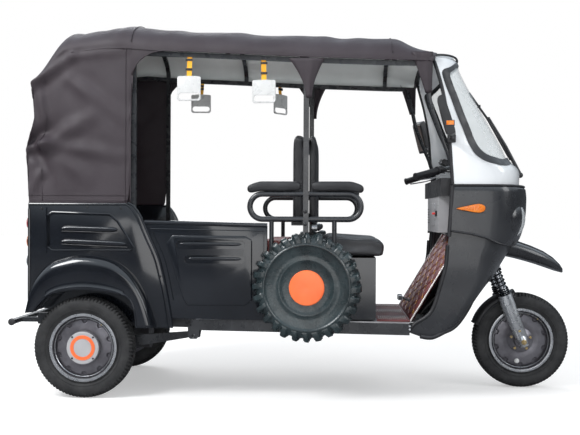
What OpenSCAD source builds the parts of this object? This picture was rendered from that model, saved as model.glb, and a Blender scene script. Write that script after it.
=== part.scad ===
// Electric auto rickshaw: three wheels, folding-hood canopy, raked front fork.
// +X is forward, +Y is the vehicle's left, +Z is up; the origin is on the ground
// under the middle of the vehicle. Lengths are in millimetres.

/* [Running gear] */
// Outer radius of all three tyres
tyre_r = 245; // [225:1:260]
// Width of a tyre
tyre_w = 100; // [80:1:110]
// Radius where the tyre seats on its rim
rim_r = 160; // [140:1:175]
// Front axle ahead of the vehicle's middle
front_axle_x = 1155; // [1140:1:1170]
// Rear axle behind the vehicle's middle
rear_axle_x = -1021; // [-1030:1:-1010]
// Middle of a rear tyre from the centre line
rear_track_y = 430; // [425:1:432]
// Rake of the steering axis from upright, degrees
rake = 21; // [19:0.5:23]
// Radius of the front wheel's axle
front_pin_r = 10; // [8:0.5:12]
// Radius of a rear stub shaft
rear_pin_r = 12.5; // [10:0.5:15]
// Radius of the steering stem
stem_r = 17; // [14:0.5:19]
// Radial clearance of every turning fit
run_fit = 0.05; // [0.02:0.01:0.1]
// Fork leg centre from the centre line
leg_y = 90; // [86:1:96]
// Radius of a fork leg
leg_r = 19; // [16:0.5:20]

/* [Body] */
// Half width over the body sides
body_hw = 450; // [445:1:455]
// Thickness of the body side panels
side_t = 12; // [8:1:14]
// Height of the body's belt line
belt_z = 944; // [930:1:960]
// Rear face of the body
rear_x = -1302; // [-1312:1:-1295]
// Floor height at the vehicle's middle
deck_mid = 380; // [375:1:384]
// Fall of the floor for each millimetre forward
deck_fall = 0.0129; // [0:0.0001:0.015]
// Height of the sills and rails
sill_h = 55; // [40:1:60]
// Thickness of the floor plate
floor_t = 4; // [2:0.5:6]
// How far the wheel arches stand out from the body sides
fender_out = 55; // [50:1:65]
// Radius of a tie-down hole
tie_hole_r = 9; // [6:0.5:11]
// Thickness of a tie-down plate
tie_plate_t = 8; // [5:0.5:10]

/* [Seats] */
// Height of the driver's seat box
seat_box_z = 684; // [640:1:690]
// Height of the rear bench base
bench_z = 640; // [600:1:660]
// Thickness of the rear bench cushion
bench_pad_t = 115; // [80:1:130]
// Side of the square mid post
post_w = 26; // [20:1:30]

/* [Canopy] */
// Thickness of the canopy skin
skin_t = 8; // [6:0.5:10]
// Side of the square roof rails
rail_w = 22; // [18:1:24]
// Front edge of the rear curtain
curtain_x = -798; // [-820:1:-790]

/* [Spare covers] */
// Radius of a cover over its lugs
spare_r = 265; // [240:1:270]
// Depth of a cover
spare_t = 88; // [70:1:95]
// Number of lugs round a cover
spare_lugs = 24; // [16:1:28]

/* [Hidden] */
$fn = 48;

rail_y = 300;              // inner face of a main rail
rail_t = 40;               // width of a main rail and of a sill
fender_hw = body_hw + fender_out;
sill_y = body_hw - 50;     // inner face of a sill
sill_x0 = -500;            // rear end of the sills
sill_x1 = 547.7;            // front end of the sills
frame_x0 = -1290;          // rear end of the main rails
frame_x1 = 640;            // front end of the main rails
axle_z = tyre_r;
seat_gap = 0.3;            // left between a piece and the sloping or facing seat that carries it
axle_tube_r = 30;
house_y = 345;             // inner face of a wheel house
house_t = 6;
floor_hw = body_hw - 4 - post_w;  // half width of the floor between the mid posts
nose_floor_hw = 404;       // half width of the floor between the cowl's sides
post_x = 51;               // middle of the mid posts
post_y = body_hw - 1 - post_w / 2;
armrest_x = 48;
armrest_half = 280;
armrest_z = [855, 1003];
armrest_r = 13.5;
armrest_leg_x = [-114, 187];
eave_y = body_hw;
pivot = [-491, 304];       // trailing arm pivot, seen from the side
arm_y = [345, 360];
spare_c = [60, 548];
spare_y = body_hw + 20;
seat_hw = body_hw - 40;
inner_hw = 384;            // half width of what stands between the front posts
head_z = [660, 800];       // ends of the head tube
head_r = 26;
crown_z = 628;
clamp_z = 1108;            // foot of the handlebar clamp on the stem
brake_y = [366, 372];

// Front border of a body side, shared with the side panel: x, z
border = [[-735, 852], [-701, 775], [-652, 659], [-612, 476], [-592, 342]];
// Wheel opening, front to rear: x, z
arch = [[-668, 342], [-760, 346], [-770, 432], [-809, 494], [-931, 521], [-1052, 525],
  [-1174, 500], [-1257, 417]];
// Outer edge of a wheel arch, front to rear: x, z
arch_rim = [[-669, 347], [-713, 480], [-786, 599], [-883, 670], [-1019, 693],
  [-1110, 680], [-1199, 644], [-1272, 547], [-1306, 412]];
// Canopy bows: x, height at the eave, height at the crown
bows = [[-1292, 1531, 1575], [-1225, 1575, 1735], [-1150, 1670, 1805],
  [-1040, 1690, 1835], [-907, 1700, 1862], [-798, 1692, 1853], [-696, 1683, 1846],
  [-465, 1674, 1831], [0, 1650, 1806], [475, 1632, 1800], [590, 1630, 1757],
  [655, 1628, 1735]];
// Upper cowl: z, rear edge, start of the curve, nose, half width
upper = [[1036, 751, 950, 1128, 432], [1100, 747, 950, 1131, 432],
  [1130, 744, 930, 1118, 432], [1162, 743, 860, 1085, 431], [1242, 737, 745, 1047, 430],
  [1324, 731, 735, 999, 430], [1485, 703, 707, 901, 428], [1600, 672, 676, 838, 424],
  [1657, 657, 661, 816, 400], [1695, 657, 661, 806, 330], [1726, 657, 661, 770, 190]];
// Lamp band of the lower cowl: the same columns
lamp_band = [[744, 728, 940, 1100, 444], [764, 730, 945, 1126, 446],
  [833, 736, 950, 1152, 449], [914, 741, 960, 1165, 450], [977, 745, 960, 1167, 448],
  [1015, 746, 960, 1156, 444], [1036, 748, 955, 1130, 436]];
// Leg shield below the lamp band: the same columns
shield = [[310, 600, 618, 690, 416], [330, 548, 700, 770, 418], [362, 560, 745, 800, 420],
  [390, 610, 775, 830, 422], [432, 655, 800, 865, 424], [542, 692, 860, 950, 426],
  [593, 706, 880, 1000, 428], [654, 721, 890, 1040, 430], [700, 725, 900, 1070, 431],
  [748, 728, 920, 1100, 432], [826, 736, 930, 1134, 432]];
// Step between lamp band and leg shield: x, z
cowl_step = [[600, 817], [741, 817], [838, 803], [910, 784], [967, 757], [1010, 748],
  [1300, 748]];
// Outer edge of the windscreen seal: x, z
screen = [[699, 1580], [709, 1525], [743, 1438], [773, 1359], [802, 1291], [822, 1242],
  [851, 1188], [890, 1156], [938, 1139], [1010, 1130], [1093, 1160], [1300, 1200],
  [1300, 1740], [850, 1700], [803, 1662], [743, 1606]];
// Edge of the glass: x, z
glass = [[737, 1568], [746, 1530], [778, 1448], [808, 1370], [836, 1304], [855, 1256],
  [880, 1213], [908, 1188], [945, 1174], [1010, 1166], [1085, 1192], [1300, 1230],
  [1300, 1700], [860, 1662], [800, 1628], [760, 1592]];
// Front post of the roof frame: x, y, z
front_post = [[628, 397, 376.3], [668, 397, 440], [712, 397, 540], [745, 397, 700],
  [757, 397, 900], [762, 397, 1026], [752, 403, 1110], [726, 409, 1200], [688, 418, 1292],
  [650, 425, 1392], [634, 427, 1468], [600, 429, 1612]];

function deck(x) = deck_mid - deck_fall * x;
function axis_x(z) = front_axle_x - (z - axle_z) * tan(rake);
function eave(x) = lookup(x, [for (b = bows) [b[0], b[1]]]);
function crown(x) = lookup(x, [for (b = bows) [b[0], b[2]]]);
// Points of an arch across the vehicle, from the left eave to the right one
function arch_line(x, drop) = [for (i = [0:16]) let (a = 180 * i / 16)
  [(eave_y - drop) * cos(a), eave(x) + (crown(x) - eave(x) - drop) * sin(a)]];
function toward(p, c, d) = p + d * (c - p) / norm(c - p);

// A side profile (x, z) extruded from y0 to y1
module slab(pts, y0, y1) {
  translate([0, y1, 0]) rotate([90, 0, 0]) linear_extrude(y1 - y0) polygon(pts);
}
// The same profile on both sides of the vehicle
module slabs(pts, y0, y1) {
  slab(pts, y0, y1);
  slab(pts, -y1, -y0);
}
module both() {
  children();
  mirror([0, 1, 0]) children();
}
module block(x, y, z) {
  translate([x[0], y[0], z[0]]) cube([x[1] - x[0], y[1] - y[0], z[1] - z[0]]);
}
// A round bar between two points
module bar(a, b, r) {
  v = b - a;
  translate(a) rotate([0, acos(v[2] / norm(v)), atan2(v[1], v[0])])
    cylinder(h = norm(v), r = r);
}
module bars(pts, r) {
  for (i = [0:len(pts) - 2]) {
    bar(pts[i], pts[i + 1], r);
    if (i > 0) translate(pts[i]) sphere(r + 0.6);
  }
}
// Places children with Z along the steering axis and the origin on the front axle
module on_axis() {
  translate([front_axle_x, 0, axle_z]) rotate([0, -rake, 0]) children();
}
function along(z) = (z - axle_z) / cos(rake);
function unit(v) = v / norm(v);

// One horizontal section of a cowl: an outer and an inner U
function cowl_ring(s, t, g) = concat(
  [[s[1], -s[4] - g]],
  [for (i = [0:16]) let (a = -90 + 180 * i / 16)
    [s[2] + (s[3] + g - s[2]) * cos(a), (s[4] + g) * sin(a)]],
  [[s[1], s[4] + g], [s[1], s[4] + g - t]],
  [for (i = [0:16]) let (a = 90 - 180 * i / 16)
    [s[2] + (s[3] + g - t - s[2]) * cos(a), (s[4] + g - t) * sin(a)]],
  [[s[1], t - s[4] - g]]);
// Joins sections with the same number of points into a closed solid
// or, where thin, a ring of outer points and back along the inner ones
module loft(rings, thin = false) {
  n = len(rings[0]);
  m = len(rings);
  ends = thin
    ? [for (i = [0:n / 2 - 2]) let (a = i, b = i + 1, c = n - 2 - i, d = n - 1 - i, e = (m - 1) * n)
        each [[a, b, c], [a, c, d], [e + d, e + c, e + b], [e + d, e + b, e + a]]]
    : [[for (i = [0:n - 1]) i], [for (i = [n - 1:-1:0]) (m - 1) * n + i]];
  polyhedron(
    points = [for (r = rings) each r],
    faces = concat(ends,
      [for (j = [0:m - 2], i = [0:n - 1]) let (k = (i + 1) % n)
        each [[j * n + i, (j + 1) * n + i, (j + 1) * n + k],
          [j * n + i, (j + 1) * n + k, j * n + k]]]),
    convexity = 8);
}
module cowl(table, t, g = 0) {
  loft([for (s = table) [for (p = cowl_ring(s, t, g)) [p[0], p[1], s[0]]]], thin = true);
}

module chassis_frame() {
  color("dimgray") {
    difference() {
      union() {
        slabs([[sill_x0, deck(sill_x0) - sill_h], [sill_x1, deck(sill_x1) - sill_h],
          [sill_x1, deck(sill_x1)], [sill_x0, deck(sill_x0)]], sill_y, sill_y + rail_t);
        slabs([[frame_x0, deck(frame_x0) - sill_h], [frame_x1, deck(frame_x1) - sill_h],
          [frame_x1, deck(frame_x1)], [frame_x0, deck(frame_x0)]], rail_y, rail_y + rail_t);
        for (x = [sill_x0, -20, 480])
          block([x, x + 36], [-sill_y, sill_y], [deck(x) - 45, deck(x) - 4]);
        for (x = [frame_x0, -860, frame_x1 - 36])
          block([x, x + 36], [-rail_y, rail_y], [deck(x) - 45, deck(x) - 4]);
        slabs([[-517, 350], [-517, 300], [-506, 289], [-475, 289], [-464, 300], [-464, 350]],
          sill_y + rail_t - tie_plate_t, sill_y + rail_t);
        for (y = [arm_y[0] - 5.3, arm_y[1] + 0.3])
          slabs([[-520, 350], [-510, 286], [-472, 286], [-462, 350]], y, y + 5);
        bars([[620, 0, 350], [axis_x(745), 0, 745]], 20);
        on_axis() translate([0, 0, along(head_z[0])])
          cylinder(h = along(head_z[1]) - along(head_z[0]), r = head_r);
      }
      for (y = [-1, 1]) translate([pivot[0], y * (sill_y + rail_t / 2), pivot[1]])
        rotate([90, 0, 0]) cylinder(h = rail_t + 10, r = tie_hole_r, center = true);
      on_axis() translate([0, 0, along(head_z[0]) - 20])
        cylinder(h = along(head_z[1]) - along(head_z[0]) + 60, r = stem_r + run_fit);
    }
  }
}
module floor_panel() {
  color("gray") difference() {
    floor_plate();
    block([590, 700], [-24, 24], [300, 400]);
  }
}
module floor_plate() {
    slab([[-600, deck(-600)], [sill_x1, deck(sill_x1)], [sill_x1, deck(sill_x1) + floor_t],
      [-600, deck(-600) + floor_t]], -floor_hw, floor_hw);
    slab([[-1284, deck(-1284)], [-600, deck(-600)], [-600, deck(-600) + floor_t],
      [-1284, deck(-1284) + floor_t]], -house_y, house_y);
    slab([[sill_x1, deck(sill_x1)], [frame_x1 + 8, deck(frame_x1 + 8)],
      [frame_x1 + 8, deck(frame_x1 + 8) + floor_t], [sill_x1, deck(sill_x1) + floor_t]],
      -nose_floor_hw, nose_floor_hw);
}
module floor_mats() {
  mat_t = 5;
  color("brown") for (x = [[-560, -210], [395, 552]])
    slab([for (p = [[x[0], 0], [x[1], 0], [x[1], mat_t], [x[0], mat_t]])
      [p[0], deck(p[0]) + floor_t + seat_gap + p[1]]], -400, 400);
}
module body_side() {
  slab(concat([[rear_x, 412], [rear_x, belt_z], [-809, belt_z], [-785, 932], [-762, 905],
    [-745, 875]], border, arch), -body_hw, side_t - body_hw);
}
module body_sides() { color("black") both() body_side(); }
module body_rear_panel() {
  color("black") block([rear_x, rear_x + 12], [side_t - body_hw, body_hw - side_t],
    [412, belt_z]);
}
module wheel_houses() {
  c = [rear_axle_x, axle_z];
  color("black") both() {
    slab(concat(arch_inner(), [for (i = [len(arch_inner()) - 1:-1:0])
      toward(arch_inner()[i], c, -5)]), house_y + house_t, body_hw - side_t);
    slab([for (p = arch_inner()) toward(p, c, -5)], house_y, house_y + house_t);
  }
}
function arch_inner() = [for (i = [1:7]) toward(arch[i], [rear_axle_x, axle_z], -4)];
module rear_fender() {
  c = [rear_axle_x, axle_z];
  opening = [for (i = [1:7]) arch[i]];
  difference() {
    slab(concat(arch_rim, [[-1306, 400], [-1262, 400]], [for (i = [6:-1:0]) opening[i]],
      [[-755, 342]]), -fender_hw, -body_hw - 0.3);
    slab(concat([for (p = arch_rim) toward(p, c, 6)], [[-1290, 380], [-700, 320]]),
      6 - fender_hw, -body_hw + 10);
  }
}
module rear_fenders() { color("black") both() rear_fender(); }
module side_panel_right() {
  groove = 5;
  x1 = -125;
  color("black") difference() {
    slab(concat([for (i = [0:3]) border[i] + [seat_gap, 0]],
      [[seat_gap - 598.6, deck(-599) + seat_gap], [x1 - 8, deck(x1 - 8) + seat_gap], [x1 - 8, 837]]),
      -body_hw, 14 - body_hw);
    for (s = [[-574, 768, 728], [-530, 695, 656]]) {
      r = (s[1] - s[2]) / 2;
      for (x = [s[0] + r, -240 - r]) translate([x, groove - body_hw, s[2] + r])
        rotate([90, 0, 0]) cylinder(h = groove + 1, r = r);
      block([s[0] + r, -240 - r], [-body_hw - 1, groove - body_hw], [s[2], s[1]]);
    }
  }
}
module bench_base() {
  color("black") {
    difference() {
      block([-1180, -770], [-house_y, house_y], [deck(-1180) + floor_t + 0.5, bench_z]);
      block([-1174, -776], [6 - house_y, house_y - 6], [300, bench_z - 12]);
    }
    block([-1284, -770], [12 - body_hw + 4, body_hw - 16], [bench_z - 12, bench_z]);
  }
}
module bench_cushion() {
  color("maroon") block([-1190, -750], [-406, 406], [bench_z, bench_z + bench_pad_t]);
}
module bench_back() {
  z0 = bench_z + bench_pad_t;
  color("maroon") slab([[-1284, z0], [-1160, z0], [-1215, z0 + 430], [-1284, z0 + 430]],
    -406, 406);
}
module battery_pack() {
  color("darkslategray") block([-1130, -820], [-250, 250],
    [deck(-1130) + floor_t, deck(-1130) + floor_t + 200]);
}
module seat_box() {
  color("black") {
    block([-190, 30], [-seat_hw, seat_hw], [deck(-190) + floor_t, bench_z]);
    block([30, 388], [-seat_hw, seat_hw], [deck(-190) + floor_t, seat_box_z]);
  }
}
module driver_cushion() {
  color("black") slab([[104, seat_box_z], [420, seat_box_z], [447, seat_box_z + 12],
    [447, 748], [432, 768], [206, 786], [104, 792]], -400, 400);
}
module middle_cushion() {
  color("maroon") block([-212, -4], [-400, 400], [bench_z, 765]);
}
module backrests() {
  x0 = post_x - post_w / 2;
  x1 = post_x + post_w / 2;
  color("black") {
    block([-18, x0], [-330, 330], [830, 1298]);
    block([x1, 95], [-330, 330], [830, 1298]);
  }
}
module armrest_frames() {
  h = armrest_z[1] - armrest_z[0];
  bend = h / 2 - armrest_r;
  zc = (armrest_z[0] + armrest_z[1]) / 2;
  color("black") for (s = [-1, 1]) difference() {
    union() {
      for (e = [-1, 1]) {
        translate([armrest_x + e * (armrest_half - h / 2), s * post_y, zc])
          rotate([90, 0, 0]) rotate([0, 0, e > 0 ? -90 : 90])
            rotate_extrude(angle = 180) translate([bend, 0]) circle(armrest_r);
        bar([armrest_x - armrest_half + h / 2, s * post_y, zc + e * bend],
          [armrest_x + armrest_half - h / 2, s * post_y, zc + e * bend], armrest_r);
      }
      for (x = armrest_leg_x)
        bar([x, s * post_y, deck(x - 11) + seat_gap],
          [x, s * post_y, armrest_z[0] + armrest_r], 11);
    }
    block([post_x - post_w / 2, post_x + post_w / 2], [s * post_y - 30, s * post_y + 30],
      [300, 1300]);
  }
}
module armrest_pads() {
  color("black") for (s = [-1, 1], x = [[-232, 28], [74, 328]])
    translate([0, s * post_y, 0]) slab([[x[0], armrest_z[1]], [x[1], armrest_z[1]],
      [x[1] - 8, 1030], [x[1] - 40, 1052], [x[0] + 40, 1052], [x[0] + 8, 1030]], -22, 22);
}
module roof_frame() {
  top = [for (b = bows) if (b[0] > -1200 && b[0] < 640) [b[0], b[1] - 3]];
  low = [for (i = [len(top) - 1:-1:0]) top[i] - [0, rail_w]];
  y1 = body_hw - side_t;
  y0 = y1 - rail_w;
  color("black") {
    slabs(concat(top, low), y0, y1);
    for (x = [-1150, curtain_x, -340, 20, 460]) translate([x, 0, 0])
      rotate([90, 0, 90]) linear_extrude(rail_w)
        polygon(let (e = eave(x) - 12, a = arch_line(x + rail_w / 2, skin_t + 6),
          b = arch_line(x + rail_w / 2, skin_t + 24))
          concat([[a[0][0], e]], a, [[a[16][0], e], [b[16][0], e]],
            [for (i = [16:-1:0]) b[i]], [[b[0][0], e]]));
    both() {
      block([-1150, -1150 + rail_w], [y0, y1], [bench_z, eave(-1150) - 6]);
      block([curtain_x, curtain_x + rail_w], [y0, y1], [bench_z, eave(curtain_x) - 6]);
      slab([[-1150, 1500], [-1270, 1500], [-1270, 1480], [-1150, 1480]], y0, y1);
      block([post_x - post_w / 2, post_x + post_w / 2],
        [post_y - post_w / 2, post_y + post_w / 2],
        [deck(post_x - post_w / 2) + seat_gap, eave(post_x) - rail_w - 3]);
      loft([for (p = front_post) [for (i = [0:9])
        p + 11 * [cos(36 * i), sin(36 * i), 0]]]);
    }
    block([-1270, -1250], [-y1, y1], [1480, 1500]);
    for (z = [872, 1236]) block([post_x - post_w / 2, post_x + post_w / 2],
      [-post_y, post_y], [z, z + post_w]);
  }
}
module canopy_roof() {
  color("#4b4147") loft([for (b = bows) [for (p = concat(arch_line(b[0], 0),
    [for (i = [16:-1:0]) arch_line(b[0], skin_t)[i]])) [b[0], p[0], p[1]]]], thin = true);
}
module canopy_side() {
  rear = [for (b = bows) if (b[0] <= curtain_x) [b[0], b[1]]];
  slab(concat([[curtain_x, belt_z], [bows[0][0], belt_z]], rear), 1 - eave_y, skin_t - 1 - eave_y);
}
module canopy_sides() { color("#4b4147") both() canopy_side(); }
module canopy_back() {
  x = bows[0][0];
  color("#4b4147") translate([x - skin_t, 0, 0]) rotate([90, 0, 90]) linear_extrude(skin_t)
    polygon(concat([[-eave_y, belt_z], [eave_y, belt_z]], arch_line(x, 0)));
}
module canopy_gussets() {
  color("#4b4147") {
    slabs([[-33, 1640], [50, 1450], [78, 1450], [140, 1634]], eave_y - 0.7, eave_y + 4);
    slabs([[556, 1622], [622, 1500], [636, 1500], [640, 1622]], eave_y - 9.7, eave_y - 6);
  }
}
module grab_handle(x, y, z0, z1, zp) {
  block([x - 13, x + 13], [y - 1.5, y + 1.5], [z0, z1]);
  difference() {
    block([x - 58, x + 58], [y - 4, y + 4], [zp, z0]);
    block([x - 40, x + 40], [y - 5, y + 5], [zp + 14, zp + 42]);
  }
}
module grab_handles() {
  color("gold") for (x = [-514, -156], s = [-1, 1])
    grab_handle(x, s * (body_hw - 21), eave(x) - 118, eave(x + 13) - rail_w - 3 - seat_gap,
      eave(x) - 235);
}
module upper_cowl() {
  color("white") difference() {
    cowl(upper, 12);
    slab(screen, -500, 500);
  }
}
module windscreen() {
  color("lightblue", 0.4) intersection() {
    cowl(upper, 6, -2);
    slab(glass, -500, 500);
  }
}
module windscreen_seal() {
  color("black") intersection() {
    cowl(upper, 12);
    difference() {
      slab(screen, -500, 500);
      slab(glass, -501, 501);
    }
  }
}
module wiper() {
  y = -60;
  color("black") {
    bar([1129.8, y, 1100], [1150, y, 1100], 12);
    bars([[1144, y, 1100], [985, y, 1386], [960, y, 1386]], 5);
    bar([900, y - 12, 1500], [1010, y - 12, 1326], 6);
    bar([972, y - 14, 1386], [972, y, 1386], 5);
  }
}
module lower_cowl() {
  color("#3a3c40") difference() {
    union() {
      difference() {
        cowl(lamp_band, 18);
        slab(concat(cowl_step, [[1300, 600], [600, 600]]), -500, 500);
      }
      difference() {
        cowl(shield, 12);
        slab(concat([for (p = cowl_step) p + [0, 8]], [[1300, 1100], [600, 1100]]),
          -500, 500);
        block([850, 1200], [-150, 150], [480, 690]);
      }
    }
    block([1040, 1200], [-150, 150], [600, 690]);
  }
}
module headlamps() {
  color("white") difference() {
    intersection() {
      cowl(lamp_band, 9, 9);
      union() for (s = [-1, 1])
        block([900, 1300], [s * 265 - 80, s * 265 + 80], [795, 950]);
    }
    cowl(lamp_band, 200, seat_gap);
  }
}
module indicators() {
  color("orange") slabs([[764, 922], [780, 910], [885, 905], [897, 912], [897, 938],
    [885, 944], [780, 938]], lamp_band[3][4] + 0.3, lamp_band[3][4] + 12);
}
module front_beak() {
  color("#3a3c40") difference() {
    intersection() {
      slab([[1050, 776], [1126, 758], [1247, 711], [1316, 664], [1360, 621], [1363, 594],
        [1221, 641], [1074, 678], [1040, 690]], -200, 200);
      translate([0, 0, 500]) linear_extrude(400) polygon([[1000, -175], [1180, -165],
        [1300, -130], [1365, -75], [1365, 75], [1300, 130], [1180, 165], [1000, 175]]);
    }
    cowl(shield, 200, 0.4);
    cowl(lamp_band, 200, 0.4);
  }
}
module kick_panel() {
  z0 = deck(556) + floor_t;
  color("brown") slab([[556, z0], [566, z0], [814, 790], [802, 790]], -inner_hw, inner_hw);
}
module dashboard() {
  color("black") {
    block([798, 808], [-inner_hw, inner_hw], [790, 1070]);
    block([700, 798], [-inner_hw, inner_hw], [985, 1070]);
  }
}
module glovebox() {
  color("gray") block([703, 798], [-250, 250], [805, 985]);
}
module mirrors() {
  color("black") both() {
    slab([[665, 1428], [691, 1431], [737, 1270], [710, 1261]], 505, 610);
    bar([742, 430.6, 1256], [742, 438, 1256], 13);
    bar([742, 437, 1256], [724, 508, 1290], 6);
  }
}
module rear_bumper() {
  color("black") {
    bar([-1386, -430, 361], [-1386, 430, 361], 14);
    both() block([-1386, frame_x0 - 0.3], [305, 335], [350, 372]);
  }
}
module tail_lamps() {
  color("red") for (s = [-1, 1], z = [660, 755, 845])
    translate([rear_x - 0.3, s * 402, z]) rotate([0, -90, 0]) cylinder(h = 18, r = 34);
}
module spare_cover() {
  translate([spare_c[0], -spare_y, spare_c[1]]) rotate([90, 0, 0]) {
    difference() {
      cylinder(h = spare_t, r = spare_r - 13);
      translate([0, 0, spare_t - 10]) cylinder(h = 20, r = 165);
    }
    translate([0, 0, spare_t - 20]) cylinder(h = 18, r = 82);
    for (i = [0:spare_lugs - 1]) rotate([0, 0, i * 360 / spare_lugs])
      translate([spare_r - 30, -14, 8]) cube([30, 28, spare_t - 16]);
    translate([-60, -70, body_hw - 0.7 - spare_y])
      cube([110, 140, spare_y - body_hw + 1.2]);
  }
}
module spare_covers() { color("#1d2426") both() spare_cover(); }
module rear_axle() {
  color("gray") {
    for (s = [-1, 1]) {
      bar([rear_axle_x, 0, axle_z], [rear_axle_x, s * brake_y[0], axle_z], axle_tube_r);
      bar([rear_axle_x, s * brake_y[0], axle_z], [rear_axle_x, s * brake_y[1], axle_z], 88);
      bar([rear_axle_x, s * brake_y[1], axle_z], [rear_axle_x, s * 462, axle_z], rear_pin_r);
    }
    translate([rear_axle_x, 0, axle_z]) sphere(88);
    bar([rear_axle_x, 0, axle_z], [rear_axle_x + 230, 0, axle_z], 66);
  }
}
module trailing_arms() {
  color("black") both() difference() {
    slab([[-503, 316], [-480, 318], [-474, 304], [-482, 292], [-764, 242], [-1000, 205],
      [-1056, 212], [-1060, 270], [-1040, 284], [-990, 284], [-764, 296]],
      arm_y[0], arm_y[1]);
    translate([rear_axle_x, 0, axle_z]) rotate([-90, 0, 0])
      cylinder(h = 500, r = axle_tube_r);
    translate([pivot[0], 0, pivot[1]]) rotate([-90, 0, 0])
      cylinder(h = 500, r = tie_hole_r);
  }
}
module rear_springs() {
  color("black") both() difference() {
    translate([rear_axle_x, 320, axle_z])
      cylinder(h = deck(rear_axle_x + 19) - sill_h - axle_z - seat_gap, r = 19);
    translate([rear_axle_x, 0, axle_z]) rotate([-90, 0, 0])
      cylinder(h = 500, r = axle_tube_r);
  }
}
module fork() {
  color("silver") {
    on_axis() {
      translate([0, 0, along(crown_z)])
        cylinder(h = along(clamp_z) - along(crown_z), r = stem_r);
      translate([-26, -leg_y - 26, along(crown_z) - 10]) cube([52, 2 * leg_y + 52, 20]);
      for (s = [-1, 1]) translate([0, s * leg_y, -26])
        cylinder(h = along(crown_z) + 20, r = leg_r);
    }
    bar([front_axle_x, -leg_y - 24, axle_z], [front_axle_x, leg_y + 24, axle_z], front_pin_r);
  }
}
module fork_springs() {
  z0 = tyre_r + 20;
  color("black") on_axis() for (s = [-1, 1]) translate([0, s * leg_y, z0])
    difference() {
      cylinder(h = along(crown_z) - 10 - z0, r = 27);
      translate([0, 0, -1]) cylinder(h = 400, r = leg_r + seat_gap);
    }
}
module front_mudguard() {
  r = tyre_r + 14;
  color("black") translate([front_axle_x, 0, axle_z]) {
    rotate([90, 0, 0]) rotate([0, 0, 98]) rotate_extrude(angle = 84) difference() {
      translate([r - 30, -62]) square([34, 124]);
      translate([r - 31, -58]) square([31, 116]);
    }
    y0 = 61.2;
    y1 = leg_y - leg_r - 0.2;
    rotate([0, -rake, 0]) both() block([-12, 12], [-y1, -y0], [r - 20, r + 2]);
  }
}
// A round tube along a path whose rows are a point and a radius
module tube(path) {
  n = len(path);
  sides = 12;
  loft([for (i = [0:n - 1]) let (
      p = path[i][0],
      t = unit(path[min(i + 1, n - 1)][0] - path[max(i - 1, 0)][0]),
      u = unit(cross(t, [0, 0, 1])),
      v = cross(t, u))
    [for (k = [0:sides - 1]) let (a = 360 * k / sides)
      p + path[i][1] * (cos(a) * u + sin(a) * v)]]);
}
module handlebar() {
  bar_r = 11;
  grip_r = 16;
  middle = [814, 0, 1122];
  bend = [776, 110, 1136];
  root = [700, 225, 1114];   // inner end of a grip
  tip = [585, 296, 1080];
  collar = root + 5 * unit(tip - root);
  half = [[tip, grip_r], [collar, grip_r], [root, bar_r], [bend, bar_r]];
  color("black") {
    tube(concat([for (row = half) [[row[0][0], -row[0][1], row[0][2]], row[1]]],
      [[middle, bar_r]], [for (i = [3:-1:0]) half[i]]));
    on_axis() translate([0, 0, along(clamp_z)]) cylinder(h = 22, r = 22);
  }
}
module instrument_pod() {
  color("black") slab([[742, 1163], [816, 1133], [822, 1142], [786, 1172], [752, 1184],
    [738, 1174]], -70, 70);
}
// Half profile of a tyre with its axis at x = 0: radius, offset
module tyre_ring() {
  h = tyre_w / 2;
  rotate_extrude($fn = 96) polygon([[rim_r, -h + 16], [rim_r + 12, -h + 12],
    [rim_r + 45, -h], [tyre_r - 22, -h + 4], [tyre_r - 6, -h + 16], [tyre_r, -h + 32],
    [tyre_r, h - 32], [tyre_r - 6, h - 16], [tyre_r - 22, h - 4], [rim_r + 45, h],
    [rim_r + 12, h - 12], [rim_r, h - 16]]);
}
module rim(bore, hub_r, hub_in, hub_out, dish) {
  h = tyre_w / 2;
  difference() {
    union() {
      rotate_extrude($fn = 96) polygon([[rim_r - 8, -h + 14], [rim_r + 5, -h + 5],
        [rim_r + 5, -h + 11], [rim_r, -h + 16], [rim_r, h - 16], [rim_r + 5, h - 11],
        [rim_r + 5, h - 5], [rim_r - 8, h - 14]]);
      rotate_extrude($fn = 96) polygon([[hub_r - 5, dish + 14], [95, dish + 14],
        [rim_r - 6, dish - 8], [rim_r - 6, dish - 14], [92, dish + 6], [hub_r - 5, dish + 6]]);
      translate([0, 0, hub_in]) cylinder(h = hub_out - hub_in, r = hub_r);
    }
    translate([0, 0, -200]) cylinder(h = 400, r = bore);
    for (i = [0:7]) rotate([0, 0, i * 45]) translate([120, 0, -60])
      cylinder(h = 120, r = 13);
  }
}
module at_front() { translate([front_axle_x, 0, axle_z]) rotate([90, 0, 0]) children(); }
module at_rear() {
  translate([rear_axle_x, -rear_track_y, axle_z]) rotate([90, 0, 0]) children();
}
module rear_rim() {
  hub_in = -(rear_track_y - brake_y[1] - 3);
  rim(rear_pin_r + run_fit, 40, hub_in, 33, 4);
  difference() {
    translate([0, 0, 33]) cylinder(h = 16, r = 82);
    translate([0, 0, 30]) cylinder(h = 8, r = 30);
  }
}
module front_tyre() { color("#222222") at_front() tyre_ring(); }
module front_rim() { color("gray") at_front() rim(front_pin_r + run_fit, 34, -58, 58, 0); }
module rear_tyre_right() { color("#222222") at_rear() tyre_ring(); }
module rear_rim_right() { color("gray") at_rear() rear_rim(); }
module rear_tyre_left() { color("#222222") mirror([0, 1, 0]) at_rear() tyre_ring(); }
module rear_rim_left() { color("gray") mirror([0, 1, 0]) at_rear() rear_rim(); }

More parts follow.
